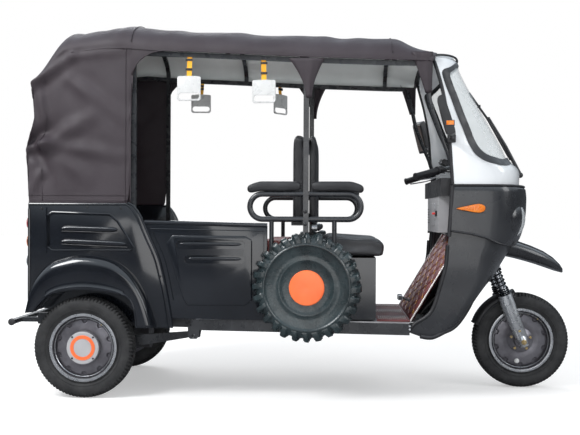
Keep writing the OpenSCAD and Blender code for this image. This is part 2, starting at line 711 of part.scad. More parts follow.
chassis_frame();
floor_panel();
floor_mats();
body_sides();
body_rear_panel();
wheel_houses();
rear_fenders();
side_panel_right();
bench_base();
bench_cushion();
bench_back();
battery_pack();
seat_box();
driver_cushion();
middle_cushion();
backrests();
armrest_frames();
armrest_pads();
roof_frame();
canopy_roof();
canopy_sides();
canopy_back();
canopy_gussets();
grab_handles();
upper_cowl();
windscreen();
windscreen_seal();
wiper();
lower_cowl();
headlamps();
indicators();
front_beak();
kick_panel();
dashboard();
glovebox();
mirrors();
rear_bumper();
tail_lamps();
spare_covers();
rear_axle();
trailing_arms();
rear_springs();
fork();
fork_springs();
front_mudguard();
handlebar();
instrument_pod();
front_tyre();
front_rim();
rear_tyre_right();
rear_rim_right();
rear_tyre_left();
rear_rim_left();
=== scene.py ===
import math
import bmesh
import bpy
from mathutils import Matrix, Vector, noise


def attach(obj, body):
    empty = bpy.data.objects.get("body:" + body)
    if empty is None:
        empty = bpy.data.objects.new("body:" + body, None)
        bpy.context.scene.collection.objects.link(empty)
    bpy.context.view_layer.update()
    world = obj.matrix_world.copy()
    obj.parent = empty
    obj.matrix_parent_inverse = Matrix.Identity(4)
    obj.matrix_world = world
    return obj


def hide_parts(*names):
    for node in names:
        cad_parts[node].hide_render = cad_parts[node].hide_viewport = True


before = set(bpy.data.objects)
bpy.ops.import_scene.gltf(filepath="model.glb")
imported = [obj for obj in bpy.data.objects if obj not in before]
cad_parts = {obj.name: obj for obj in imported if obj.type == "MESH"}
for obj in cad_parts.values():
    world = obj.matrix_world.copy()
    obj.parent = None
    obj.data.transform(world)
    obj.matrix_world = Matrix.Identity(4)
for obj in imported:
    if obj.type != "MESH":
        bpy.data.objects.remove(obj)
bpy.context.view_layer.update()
print("frame loaded with", len(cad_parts), "nodes")

# Lengths in the tables are millimetres: x forward, y to the vehicle's left, z up.


def metres(point):
    return Vector(point) / 1000


def lerp(a, b, t):
    return a + (b - a) * t


def smoothStep(t):
    t = min(1, max(0, t))
    return t * t * (3 - 2 * t)


def lookUp(table, x):  # straight lines between rows of [x, value]
    if x <= table[0][0]:
        return table[0][1]
    for a, b in zip(table, table[1:]):
        if x <= b[0]:
            return lerp(a[1], b[1], (x - a[0]) / (b[0] - a[0]))
    return table[-1][1]


def curveThrough(points, steps, closed=False):  # a smooth line through a few points
    count = len(points)
    spans = count if closed else count - 1
    out = []
    for i in range(spans):
        if closed:
            p = [Vector(points[(i + k) % count]) for k in (-1, 0, 1, 2)]
        else:
            p = [Vector(points[min(max(i + k, 0), count - 1)]) for k in (-1, 0, 1, 2)]
        for s in range(steps):
            t = s / steps
            out.append(0.5 * (2 * p[1] + (p[2] - p[0]) * t
                              + (2 * p[0] - 5 * p[1] + 4 * p[2] - p[3]) * t * t
                              + (3 * p[1] - p[0] - 3 * p[2] + p[3]) * t ** 3))
    if not closed:
        out.append(Vector(points[-1]))
    return out


def spread(points, count):  # the same line with evenly spaced points
    points = [Vector(p) for p in points]
    lengths = [0]
    for a, b in zip(points, points[1:]):
        lengths.append(lengths[-1] + (b - a).length)
    out = []
    for i in range(count):
        want = lengths[-1] * i / (count - 1)
        k = max(j for j in range(len(points) - 1) if lengths[j] <= want + 1e-9)
        span = lengths[k + 1] - lengths[k]
        out.append(points[k].lerp(points[k + 1], (want - lengths[k]) / span))
    return out


def addFaces(bm, points, faces, finish=0):
    verts = [bm.verts.new(metres(p)) for p in points]
    made = []
    for f in faces:
        face = bm.faces.new([verts[i] for i in f])
        face.material_index = finish
        made.append(face)
    return verts, made


def roundEdges(bm, faces, size, steps=2, least=0.35):  # rounds the sharp edges of new faces
    edges = {e for f in faces for e in f.edges}
    bm.normal_update()
    sharp = [e for e in edges if len(e.link_faces) == 2 and e.calc_face_angle(0) > least]
    if sharp and size:
        bmesh.ops.bevel(bm, geom=sharp, offset=size / 1000, segments=steps, affect="EDGES",
                        profile=0.5, clamp_overlap=True)


def addPrism(bm, outline, y0, y1, round=2, finish=0, steps=2):  # outline is x, z
    n = len(outline)
    points = [(p[0], y, p[1]) for y in (y0, y1) for p in outline]
    faces = [list(range(n)), list(range(2 * n - 1, n - 1, -1))]
    faces += [[i, i + n, (i + 1) % n + n, (i + 1) % n] for i in range(n)]
    verts, made = addFaces(bm, points, faces, finish)
    bmesh.ops.recalc_face_normals(bm, faces=made)
    roundEdges(bm, made, round, steps)
    return verts


def addBox(bm, low, high, round=3, finish=0, steps=2):
    outline = [(low[0], low[2]), (high[0], low[2]), (high[0], high[2]), (low[0], high[2])]
    return addPrism(bm, outline, low[1], high[1], round, finish, steps)


def addGrid(bm, rows, finish=0, wrapAcross=False, wrapAlong=False):
    n = len(rows[0])
    m = len(rows)
    points = [p for row in rows for p in row]
    across = n if wrapAcross else n - 1
    along = m if wrapAlong else m - 1
    faces = [[j * n + i, j * n + (i + 1) % n, (j + 1) % m * n + (i + 1) % n, (j + 1) % m * n + i]
             for j in range(along) for i in range(across)]
    return addFaces(bm, points, faces, finish)


def addTube(bm, path, radius, sides=12, finish=0, flat=1.0, closed=False):
    path = [Vector(p) for p in path]
    n = len(path)
    radii = radius if isinstance(radius, (list, tuple)) else [radius] * n
    rows = []
    side = None
    for i, p in enumerate(path):
        before = path[i - 1] if i or closed else p
        after = path[(i + 1) % n] if i < n - 1 or closed else p
        way = (after - before).normalized()
        if side is None:
            side = way.cross(Vector((0, 0, 1)) if abs(way.z) < 0.9 else Vector((0, 1, 0)))
        side = (side - way * side.dot(way)).normalized()
        up = way.cross(side)
        rows.append([p + radii[i] * (math.cos(a) * side + flat * math.sin(a) * up)
                     for a in (2 * math.pi * k / sides for k in range(sides))])
    verts, made = addGrid(bm, rows, finish, wrapAcross=True, wrapAlong=closed)
    if not closed:
        for ring in (verts[:sides][::-1], verts[-sides:]):
            face = bm.faces.new(ring)
            face.material_index = finish
            made.append(face)
    bmesh.ops.recalc_face_normals(bm, faces=made)
    return verts


def addLathe(bm, profile, centre, axis=(0, 1, 0), steps=48, finish=0, closed=True):
    axis = Vector(axis).normalized()  # profile rows are offset along the axis, radius
    u = axis.orthogonal().normalized()
    v = axis.cross(u)
    rows = []
    for offset, radius in profile:
        base = Vector(centre) + axis * offset
        reach = max(radius, 0.01)
        rows.append([base + reach * (math.cos(a) * u + math.sin(a) * v)
                     for a in (2 * math.pi * k / steps for k in range(steps))])
    verts, made = addGrid(bm, rows, finish, wrapAcross=True, wrapAlong=closed)
    bmesh.ops.recalc_face_normals(bm, faces=made)
    return verts


def addKnob(bm, centre, sizes, turn=None, finish=0, steps=20):  # an egg of three half sizes
    made = bmesh.ops.create_uvsphere(bm, u_segments=steps, v_segments=steps // 2 + 2, radius=1)
    place = Matrix.Translation(metres(centre)) @ (turn or Matrix.Identity(4))
    place = place @ Matrix.Diagonal((*metres(sizes), 1))
    bmesh.ops.transform(bm, matrix=place, verts=made["verts"])
    for f in {f for v in made["verts"] for f in v.link_faces}:
        f.material_index = finish
    return made["verts"]


def addBolt(bm, centre, axis, radius=6, height=4, finish=0):
    profile = [(0, 0), (0, radius), (height * 0.7, radius), (height, radius * 0.8), (height, 0)]
    addLathe(bm, profile, centre, axis, 6, finish, closed=False)


def mirrorAcross(bm):  # adds the same forms on the other side of the vehicle
    made = bmesh.ops.duplicate(bm, geom=bm.verts[:] + bm.edges[:] + bm.faces[:])["geom"]
    verts = [g for g in made if isinstance(g, bmesh.types.BMVert)]
    faces = [g for g in made if isinstance(g, bmesh.types.BMFace)]
    bmesh.ops.transform(bm, matrix=Matrix.Diagonal((1, -1, 1, 1)), verts=verts)
    bmesh.ops.reverse_faces(bm, faces=faces)


def joinForms(bm, other):  # moves the other form into the first
    data = bpy.data.meshes.new("joining")
    other.to_mesh(data)
    other.free()
    bm.from_mesh(data)
    bpy.data.meshes.remove(data)


def makePiece(name, bm, finishes, body, hides=(), sharp=38):
    data = bpy.data.meshes.new(name)
    bm.to_mesh(data)
    bm.free()
    for f in finishes:
        data.materials.append(finishBook[f])
    for p in data.polygons:
        p.use_smooth = True
    data.set_sharp_from_angle(angle=math.radians(sharp))
    piece = bpy.data.objects.new(name, data)
    bpy.context.scene.collection.objects.link(piece)
    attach(piece, body)
    if hides:
        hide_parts(*hides)
    return piece


def shapedBy(bm, cutter, way):  # way is DIFFERENCE or INTERSECT; gives the cut form back
    pair = []
    for i, form in enumerate((bm, cutter)):
        data = bpy.data.meshes.new("cutting%d" % i)
        form.to_mesh(data)
        form.free()
        thing = bpy.data.objects.new("cutting%d" % i, data)
        bpy.context.scene.collection.objects.link(thing)
        pair.append(thing)
    cut = pair[0].modifiers.new("cut", "BOOLEAN")
    cut.operation = way
    cut.solver = "EXACT"
    cut.object = pair[1]
    bpy.context.view_layer.update()
    seen = pair[0].evaluated_get(bpy.context.evaluated_depsgraph_get())
    out = bmesh.new()
    out.from_mesh(seen.to_mesh())
    for thing in pair:
        data = thing.data
        bpy.data.objects.remove(thing)
        bpy.data.meshes.remove(data)
    return out


# Finishes. base and second are the two colours that the surface drifts between.

finishBook = {}
finishLooks = {
    "blackPaint": dict(base=(0.005, 0.006, 0.009), second=(0.010, 0.012, 0.016), cloud=3,
                       rough=(0.10, 0.20), coat=0.6, grain=70, depth=0.0006, bump=0.05),
    "framePaint": dict(base=(0.014, 0.015, 0.018), second=(0.030, 0.032, 0.036), cloud=9,
                       rough=(0.22, 0.36), coat=0.3, grain=260, depth=0.0005, bump=0.10),
    "charcoalPaint": dict(base=(0.017, 0.018, 0.021), second=(0.026, 0.028, 0.032), cloud=4,
                          rough=(0.24, 0.36), coat=0.35, grain=420, depth=0.0003, bump=0.12),
    "whiteShell": dict(base=(0.80, 0.82, 0.84), second=(0.72, 0.75, 0.78), cloud=3,
                       rough=(0.14, 0.24), coat=0.5, grain=60, depth=0.0005, bump=0.04),
    "hoodCloth": dict(base=(0.031, 0.022, 0.028), second=(0.041, 0.031, 0.038), cloud=4,
                      rough=(0.52, 0.66), grain=1400, depth=0.0006, bump=0.35, weave=520),
    "hoodLining": dict(base=(0.74, 0.77, 0.76), second=(0.84, 0.87, 0.86), cloud=5,
                       rough=(0.70, 0.85), grain=900, depth=0.0006, bump=0.30, weave=480),
    "blackVinyl": dict(base=(0.016, 0.016, 0.018), second=(0.030, 0.030, 0.033), cloud=7,
                       rough=(0.34, 0.48), grain=620, depth=0.0008, bump=0.45),
    "seatVinyl": dict(base=(0.135, 0.022, 0.020), second=(0.20, 0.036, 0.030), cloud=6,
                      rough=(0.34, 0.48), grain=600, depth=0.0008, bump=0.45),
    "quiltVinyl": dict(base=(0.16, 0.024, 0.024), second=(0.22, 0.038, 0.036), cloud=8,
                       rough=(0.36, 0.50), grain=640, depth=0.0008, bump=0.45),
    "goldThread": dict(base=(0.62, 0.30, 0.05), second=(0.80, 0.45, 0.10), cloud=60,
                       rough=(0.45, 0.60), grain=1600, depth=0.0005, bump=0.5),
    "treadPlate": dict(base=(0.55, 0.50, 0.49), second=(0.72, 0.68, 0.66), cloud=25,
                       rough=(0.26, 0.42), metal=0.5, grain=300, depth=0.0004, bump=0.2),
    "tyreRubber": dict(base=(0.014, 0.014, 0.015), second=(0.030, 0.030, 0.031), cloud=14,
                       rough=(0.60, 0.82), grain=480, depth=0.0008, bump=0.35),
    "sealRubber": dict(base=(0.012, 0.012, 0.014), second=(0.022, 0.022, 0.025), cloud=12,
                       rough=(0.36, 0.52), grain=420, depth=0.0005, bump=0.2),
    "coverPlastic": dict(base=(0.010, 0.016, 0.018), second=(0.022, 0.036, 0.040), cloud=12,
                         rough=(0.20, 0.40), coat=0.25, grain=110, depth=0.0010, bump=0.3),
    "coverDisc": dict(base=(0.90, 0.150, 0.038), second=(0.98, 0.190, 0.055), cloud=9,
                      rough=(0.30, 0.42), grain=300, depth=0.0004, bump=0.12),
    "blackPlastic": dict(base=(0.016, 0.016, 0.018), second=(0.028, 0.028, 0.031), cloud=12,
                         rough=(0.38, 0.56), grain=700, depth=0.0005, bump=0.3),
    "greyPlastic": dict(base=(0.33, 0.33, 0.345), second=(0.42, 0.42, 0.435), cloud=7,
                        rough=(0.38, 0.52), grain=650, depth=0.0005, bump=0.25),
    "rimPaint": dict(base=(0.13, 0.125, 0.14), second=(0.20, 0.195, 0.215), cloud=18,
                     rough=(0.30, 0.46), metal=0.55, grain=320, depth=0.0004, bump=0.15),
    "silverMetal": dict(base=(0.46, 0.47, 0.49), second=(0.60, 0.61, 0.63), cloud=20,
                        rough=(0.24, 0.38), metal=0.85, grain=300, depth=0.0004, bump=0.12),
    "chromeMetal": dict(base=(0.72, 0.73, 0.75), second=(0.80, 0.81, 0.83), cloud=15,
                        rough=(0.06, 0.14), metal=1.0, grain=200, depth=0.0002, bump=0.05),
    "brassMetal": dict(base=(0.62, 0.44, 0.20), second=(0.76, 0.58, 0.30), cloud=80,
                       rough=(0.24, 0.36), metal=0.9, grain=300, depth=0.0003, bump=0.1),
    "castIron": dict(base=(0.055, 0.055, 0.060), second=(0.090, 0.090, 0.095), cloud=16,
                     rough=(0.45, 0.65), metal=0.4, grain=380, depth=0.0008, bump=0.4),
    "floorSteel": dict(base=(0.36, 0.36, 0.37), second=(0.50, 0.50, 0.51), cloud=10,
                       rough=(0.30, 0.46), metal=0.6, grain=260, depth=0.0004, bump=0.2),
    "batteryCase": dict(base=(0.035, 0.045, 0.045), second=(0.050, 0.062, 0.062), cloud=8,
                        rough=(0.45, 0.60), grain=500, depth=0.0005, bump=0.3),
    "strapAmber": dict(base=(0.86, 0.38, 0.015), second=(0.95, 0.50, 0.03), cloud=20,
                       rough=(0.36, 0.50), grain=800, depth=0.0004, bump=0.3),
    "milkyPlastic": dict(base=(0.62, 0.63, 0.63), second=(0.72, 0.73, 0.73), cloud=14,
                         rough=(0.24, 0.36), through=0.08, grain=260, depth=0.0004, bump=0.15),
    "amberLens": dict(base=(0.93, 0.20, 0.012), second=(0.98, 0.30, 0.02), cloud=30,
                      rough=(0.08, 0.16), coat=0.5, through=0.25, grain=220, depth=0.0010, bump=0.5),
    "redLens": dict(base=(0.55, 0.012, 0.012), second=(0.68, 0.020, 0.018), cloud=30,
                    rough=(0.08, 0.16), coat=0.5, through=0.2, grain=220, depth=0.0010, bump=0.5),
    "clearLens": dict(base=(0.80, 0.86, 0.90), second=(0.90, 0.94, 0.97), cloud=12,
                      rough=(0.03, 0.08), coat=0.6, through=0.6, grain=160, depth=0.0006, bump=0.3),
    "mirrorGlass": dict(base=(0.34, 0.26, 0.22), second=(0.42, 0.33, 0.28), cloud=4,
                        rough=(0.03, 0.07), metal=1.0, grain=120, depth=0.0001, bump=0.02),
    "keyRed": dict(base=(0.62, 0.02, 0.02), second=(0.72, 0.04, 0.03), cloud=40,
                   rough=(0.3, 0.4), grain=400, depth=0.0003, bump=0.2),
}


def buildFinish(name, look):
    paint = bpy.data.materials.new(name)
    paint.use_nodes = True
    nodes = paint.node_tree.nodes
    links = paint.node_tree.links
    shader = nodes["Principled BSDF"]
    place = nodes.new("ShaderNodeTexCoord")

    def drift(scale, low, high, detail=4):  # slow noise, spread from 0 to 1
        clouds = nodes.new("ShaderNodeTexNoise")
        clouds.inputs["Scale"].default_value = scale
        clouds.inputs["Detail"].default_value = detail
        links.new(place.outputs["Object"], clouds.inputs["Vector"])
        wide = nodes.new("ShaderNodeMapRange")
        wide.inputs["From Min"].default_value = 0.34
        wide.inputs["From Max"].default_value = 0.66
        wide.inputs["To Min"].default_value = low
        wide.inputs["To Max"].default_value = high
        links.new(clouds.outputs["Fac"], wide.inputs["Value"])
        return wide.outputs["Result"]

    tint = nodes.new("ShaderNodeMix")
    tint.data_type = "RGBA"
    tint.inputs[6].default_value = (*look["base"], 1)
    tint.inputs[7].default_value = (*look["second"], 1)
    links.new(drift(look["cloud"], 0, 1), tint.inputs[0])
    links.new(tint.outputs[2], shader.inputs["Base Color"])
    links.new(drift(look["cloud"] * 2.7, *look["rough"]), shader.inputs["Roughness"])
    relief = nodes.new("ShaderNodeBump")
    relief.inputs["Strength"].default_value = look["bump"]
    relief.inputs["Distance"].default_value = look["depth"]
    height = drift(look["grain"], 0, 1, 3)
    if "weave" in look:  # crossed threads over the grain
        threads = []
        for way in ("X", "Z"):
            bands = nodes.new("ShaderNodeTexWave")
            bands.bands_direction = way
            bands.inputs["Scale"].default_value = look["weave"] / 6
            bands.inputs["Distortion"].default_value = 0.6
            links.new(place.outputs["Object"], bands.inputs["Vector"])
            threads.append(bands.outputs["Fac"])
        for thread in threads:
            both = nodes.new("ShaderNodeMath")
            both.operation = "ADD"
            links.new(height, both.inputs[0])
            links.new(thread, both.inputs[1])
            height = both.outputs[0]
    links.new(height, relief.inputs["Height"])
    links.new(relief.outputs["Normal"], shader.inputs["Normal"])
    shader.inputs["Metallic"].default_value = look.get("metal", 0)
    shader.inputs["Coat Weight"].default_value = look.get("coat", 0)
    shader.inputs["Coat Roughness"].default_value = 0.08
    shader.inputs["Transmission Weight"].default_value = look.get("through", 0)
    finishBook[name] = paint


for finishName, finishLook in finishLooks.items():
    buildFinish(finishName, finishLook)


def buildGlass():  # a thin pane: mostly clear, with reflections and faint haze
    pane = bpy.data.materials.new("screenGlass")
    pane.use_nodes = True
    nodes = pane.node_tree.nodes
    links = pane.node_tree.links
    shader = nodes["Principled BSDF"]
    shader.inputs["Base Color"].default_value = (0.86, 0.92, 0.94, 1)
    shader.inputs["IOR"].default_value = 1.5
    clouds = nodes.new("ShaderNodeTexNoise")
    clouds.inputs["Scale"].default_value = 5
    haze = nodes.new("ShaderNodeMapRange")
    haze.inputs["To Min"].default_value = 0.02
    haze.inputs["To Max"].default_value = 0.07
    links.new(clouds.outputs["Fac"], haze.inputs["Value"])
    links.new(haze.outputs["Result"], shader.inputs["Roughness"])
    shader.inputs["Alpha"].default_value = 0.30
    finishBook["screenGlass"] = pane


buildGlass()
print("finishes made:", len(finishBook))

# The camera, the floor and the studio light.

studio = dict(cameraPlace=(0.203, -4.563, 0.882), yaw=3.166, pitch=-0.07, roll=0.245, lens=53.43,
              sensor=36, floorSize=60, worldFill=0.62)


def setCamera():
    yaw, pitch, roll = (math.radians(studio[k]) for k in ("yaw", "pitch", "roll"))
    ahead = Vector((-math.sin(yaw) * math.cos(pitch), math.cos(yaw) * math.cos(pitch), math.sin(pitch)))
    right = Vector((math.cos(yaw), math.sin(yaw), 0))
    up = right.cross(ahead)
    tilted = right * math.cos(roll) + up * math.sin(roll)
    lifted = up * math.cos(roll) - right * math.sin(roll)
    turn = Matrix((tilted, lifted, -ahead)).transposed().to_4x4()
    data = bpy.data.cameras.new("camera")
    data.lens = studio["lens"]
    data.sensor_width = studio["sensor"]
    data.clip_end = 200
    camera = bpy.data.objects.new("camera", data)
    camera.matrix_world = Matrix.Translation(studio["cameraPlace"]) @ turn
    bpy.context.scene.collection.objects.link(camera)
    bpy.context.scene.camera = camera


def makeFloor():
    half = studio["floorSize"] / 2
    data = bpy.data.meshes.new("floor")
    corners = [(-half, -half, 0), (half, -half, 0), (half, half, 0), (-half, half, 0)]
    data.from_pydata(corners, [], [(0, 1, 2, 3)])
    floor = bpy.data.objects.new("floor", data)
    bpy.context.scene.collection.objects.link(floor)
    pale = bpy.data.materials.new("paleFloor")
    pale.use_nodes = True
    nodes = pale.node_tree.nodes
    links = pale.node_tree.links
    nodes["Principled BSDF"].inputs["Roughness"].default_value = 0.9
    nodes["Principled BSDF"].inputs["Specular IOR Level"].default_value = 0.1
    glow = nodes.new("ShaderNodeEmission")
    ray = nodes.new("ShaderNodeLightPath")
    pick = nodes.new("ShaderNodeMix")  # gloss sees a darker floor, as in a draped studio
    pick.data_type = "RGBA"
    pick.inputs[6].default_value = (0.80, 0.80, 0.80, 1)
    pick.inputs[7].default_value = (0.20, 0.21, 0.23, 1)
    links.new(ray.outputs["Is Glossy Ray"], pick.inputs[0])
    links.new(pick.outputs[2], nodes["Principled BSDF"].inputs["Base Color"])
    place = nodes.new("ShaderNodeTexCoord")
    far = nodes.new("ShaderNodeVectorMath")
    far.operation = "LENGTH"
    links.new(place.outputs["Object"], far.inputs[0])
    lift = nodes.new("ShaderNodeMapRange")  # the floor pales to white with distance
    for socket, value in (("From Min", 2.5), ("From Max", 9), ("To Min", 0.36), ("To Max", 0.62)):
        lift.inputs[socket].default_value = value
    links.new(far.outputs["Value"], lift.inputs["Value"])
    share = nodes.new("ShaderNodeMath")
    share.operation = "MULTIPLY"
    links.new(lift.outputs["Result"], share.inputs[1])
    total = nodes.new("ShaderNodeAddShader")
    links.new(ray.outputs["Is Camera Ray"], share.inputs[0])
    links.new(share.outputs[0], glow.inputs["Strength"])
    links.new(nodes["Principled BSDF"].outputs[0], total.inputs[0])
    links.new(glow.outputs[0], total.inputs[1])
    links.new(total.outputs[0], nodes["Material Output"].inputs["Surface"])
    data.materials.append(pale)


def setLight():
    scene = bpy.context.scene
    world = bpy.data.worlds.new("studio")
    scene.world = world
    world.use_nodes = True
    nodes = world.node_tree.nodes
    links = world.node_tree.links
    sky = nodes["Background"]
    sky.inputs["Color"].default_value = (0.95, 0.975, 1.0, 1)
    sky.inputs["Strength"].default_value = studio["worldFill"]
    white = nodes.new("ShaderNodeBackground")
    white.inputs["Color"].default_value = (1, 1, 1, 1)
    ray = nodes.new("ShaderNodeLightPath")
    either = nodes.new("ShaderNodeMath")
    either.operation = "MAXIMUM"
    links.new(ray.outputs["Is Camera Ray"], either.inputs[0])
    links.new(ray.outputs["Is Transmission Ray"], either.inputs[1])
    mirrored = nodes.new("ShaderNodeBackground")  # a dark room with a pale ceiling, seen in gloss
    mirrored.inputs["Color"].default_value = (0.80, 0.90, 1.0, 1)
    way = nodes.new("ShaderNodeTexCoord")
    parts = nodes.new("ShaderNodeSeparateXYZ")
    links.new(way.outputs["Generated"], parts.inputs[0])
    rise = nodes.new("ShaderNodeMapRange")
    rise.interpolation_type = "SMOOTHSTEP"
    for socket, value in (("From Min", 0.10), ("From Max", 0.55), ("To Min", 0.07), ("To Max", 1.15)):
        rise.inputs[socket].default_value = value
    links.new(parts.outputs["Z"], rise.inputs["Value"])
    links.new(rise.outputs["Result"], mirrored.inputs["Strength"])
    base = sky.outputs[0]
    for chooser, other in ((ray.outputs["Is Glossy Ray"], mirrored), (either.outputs[0], white)):
        pick = nodes.new("ShaderNodeMixShader")
        links.new(chooser, pick.inputs[0])
        links.new(base, pick.inputs[1])
        links.new(other.outputs[0], pick.inputs[2])
        base = pick.outputs[0]
    links.new(base, nodes["World Output"].inputs["Surface"])
    scene.view_settings.view_transform = "Standard"
    for name, place, aim, power, size, gloss in (
            ("keyLight", (-3.4, -3.2, 4.4), (0, 0, 0.9), 230, 2.2, 1),
            ("frontLight", (4.6, -2.6, 3.0), (0.4, 0, 0.8), 70, 2.4, 1),
            ("fillLight", (0.4, -6.0, 0.9), (0, 0, 1.0), 60, 3.0, 0),
            ("backLight", (-2.0, 4.4, 3.8), (0, 0, 0.9), 90, 3.0, 1)):
        data = bpy.data.lights.new(name, "AREA")
        data.energy = power
        data.specular_factor = gloss
        data.size = size
        lamp = bpy.data.objects.new(name, data)
        lamp.location = place
        lamp.rotation_mode = "QUATERNION"
        lamp.rotation_quaternion = (Vector(aim) - Vector(place)).to_track_quat("-Z", "Y")
        scene.collection.objects.link(lamp)


setCamera()
makeFloor()
setLight()
print("camera, floor and light set")

# CAD pieces that keep their own form take a finish here.

keptFinishes = {
    "framePaint": ["chassis_frame", "roof_frame", "armrest_frames", "rear_bumper", "trailing_arms",
                   "rear_springs", "handlebar"],
    "blackPaint": ["wheel_houses", "body_rear_panel", "bench_base", "seat_box"],
    "floorSteel": ["floor_panel"],
    "batteryCase": ["battery_pack"],
    "blackPlastic": ["dashboard", "instrument_pod"],
    "greyPlastic": ["glovebox"],
    "castIron": ["rear_axle"],
    "silverMetal": ["fork"],
    "rimPaint": ["front_rim", "rear_rim_right", "rear_rim_left"],
}
for finishName, nodeNames in keptFinishes.items():
    for nodeName in nodeNames:
        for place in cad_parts[nodeName].material_slots:
            place.material = finishBook[finishName]
print("CAD finishes given")

# The hood: one sheet that runs over the roof, down both sides and down the back.

hood = dict(
    halfWidth=450, hem=944, curtainFront=-798, backX=-1292, frontX=655, frontLip=40,
    sag=8, sideRows=30, archColumns=44, stations=92,
    # x, eave height, crown height
    bows=[[-1292, 1531, 1556], [-1262, 1550, 1584], [-1225, 1572, 1680], [-1175, 1630, 1775],
          [-1130, 1672, 1812], [-1040, 1684, 1828],
          [-907, 1698, 1856], [-798, 1694, 1856], [-696, 1685, 1846], [-465, 1676, 1831],
          [0, 1652, 1808], [475, 1634, 1786], [590, 1630, 1728], [655, 1628, 1700]],
    supports=[-1150, -798, -340, 20, 460],
    # height and x of the rear silhouette
    back=[[944, -1297], [1025, -1303], [1117, -1306], [1206, -1314], [1260, -1298], [1358, -1273],
          [1450, -1280], [1531, -1292]],
    # a crease on a side: x and z of both ends, half width, height
    folds=[[-1312, 1206, -1215, 1232, 36, 22], [-1215, 1232, -850, 1172, 46, 15],
           [-1215, 1232, -990, 1365, 56, 18], [-1106, 1549, -805, 1330, 44, 9],
           [-1290, 1526, -1097, 1649, 40, 24], [-1124, 1731, -1075, 1660, 30, 16],
           [-1262, 1500, -1226, 1240, 28, 16], [-1285, 1210, -1222, 1080, 28, 18],
           [-1292, 1190, -1240, 1010, 24, 14], [-1097, 1649, -796, 1684, 28, 9],
           [-1215, 1225, -1020, 1060, 60, 14], [-1215, 1225, -1120, 1010, 44, 11],
           [-1235, 1085, -1290, 975, 30, 14], [-1040, 1500, -900, 1240, 60, 6]],
    # a crease across the roof: x, middle angle, length in angle, half width, height
    roofFolds=[[-560, 0.30, 0.5, 40, 7], [-250, 0.45, 0.4, 44, 8], [170, 0.30, 0.5, 40, 8],
               [330, 0.25, 0.4, 46, 9], [540, 0.3, 0.5, 34, 9], [-980, 0.4, 0.5, 36, 9],
               [-1090, 0.3, 0.4, 30, 12], [-800, 0.4, 0.9, 20, 9]])


def eaveAt(x):
    return lookUp([[b[0], b[1]] for b in hood["bows"]], x)


def crownAt(x):
    return lookUp([[b[0], b[2]] for b in hood["bows"]], x)


def sagAt(x):  # cloth dips between two bows
    supports = hood["supports"]
    for a, b in zip(supports, supports[1:]):
        if a < x < b:
            return hood["sag"] * math.sin(math.pi * (x - a) / (b - a)) ** 2
    return 0


def lowerEdge(x):  # where the side of the sheet ends
    front = hood["curtainFront"]
    if x <= front + 1:
        return hood["hem"]
    rail = eaveAt(x) - 5
    reach = 170
    if x < front + reach:  # the fabric quarter arch ahead of the curtain
        t = (x - front) / reach
        return rail - 160 * (1 - math.sqrt(1 - (1 - t) ** 2))
    return rail


def archPoint(x, angle, drop=0):
    half = hood["halfWidth"] - drop
    rise = crownAt(x) - eaveAt(x) - drop
    c = math.cos(angle)
    across = math.copysign(abs(c) ** 0.86, c)
    height = eaveAt(x) + rise * math.sin(angle) ** 0.9 - sagAt(x) * math.sin(angle)
    return Vector((x, -half * across, height))


def foldLift(x, z, side):
    lift = 0
    for x0, z0, x1, z1, width, height in hood["folds"]:
        if side > 0:  # the far side isn't a copy of the near one
            z0, z1 = z1, z0
            height *= 0.8
        way = Vector((x1 - x0, z1 - z0))
        t = max(0, min(1, ((x - x0) * way.x + (z - z0) * way.y) / way.length_squared))
        away = math.hypot(x - x0 - way.x * t, z - z0 - way.y * t)
        fade = 1 - 0.75 * t
        ridge = math.exp(-(away / width * 1.6) ** 2)
        valley = math.exp(-((away - width) / width * 1.5) ** 2)
        lift += 1.3 * height * fade * (ridge - 0.45 * valley)
    slow = noise.noise(Vector((x / 240, side * 3.1, z / 190)))
    return lift + 5 * slow


def roofLift(x, angle, side):
    lift = 0
    for x0, middle, length, width, height in hood["roofFolds"]:
        along = math.exp(-((angle / math.pi - (middle if side < 0 else 1 - middle)) / (length / 2)) ** 2)
        slant = x0 + 160 * (angle / math.pi - 0.5)
        lift += height * along * math.exp(-((x - slant) / width) ** 2)
    return lift + 4 * noise.noise(Vector((x / 240, angle * 1.7, 2.5)))


def hoodStations():
    low, high = hood["backX"], hood["frontX"]
    even = [lerp(low, high, i / (hood["stations"] - 1)) for i in range(hood["stations"])]
    front = hood["curtainFront"]
    near = min(range(len(even)), key=lambda i: abs(even[i] - front))
    even[near] = front
    even.insert(near + 1, front + 3)
    return even


def hoodSection(x):
    rows = hood["sideRows"]
    columns = hood["archColumns"]
    half = hood["halfWidth"]
    points = []
    inCurtain = x <= hood["curtainFront"] + 1
    for k in range(rows):
        t = k / rows
        z = lerp(lowerEdge(x), eaveAt(x), t)
        points.append(shapedSide(x, z, -1, inCurtain))
    for k in range(columns + 1):
        angle = math.pi * k / columns
        p = archPoint(x, angle)
        side = -1 if angle < math.pi / 2 else 1
        away = Vector((0, p.y / half, 0.4 + math.sin(angle))).normalized()
        share = math.sin(angle) ** 0.5 if inCurtain else math.sin(angle)
        p += away * roofLift(x, angle, side) * share
        if x > hood["frontX"] - 60:  # the front edge bows forward over the cowl
            p.x += hood["frontLip"] * smoothStep((x - hood["frontX"] + 60) / 60) * math.sin(angle)
        points.append(p if 0 < k < columns else shapedSide(x, p.z, side, inCurtain))
    for k in range(rows - 1, -1, -1):
        z = lerp(lowerEdge(x), eaveAt(x), k / rows)
        points.append(shapedSide(x, z, 1, inCurtain))
    return points


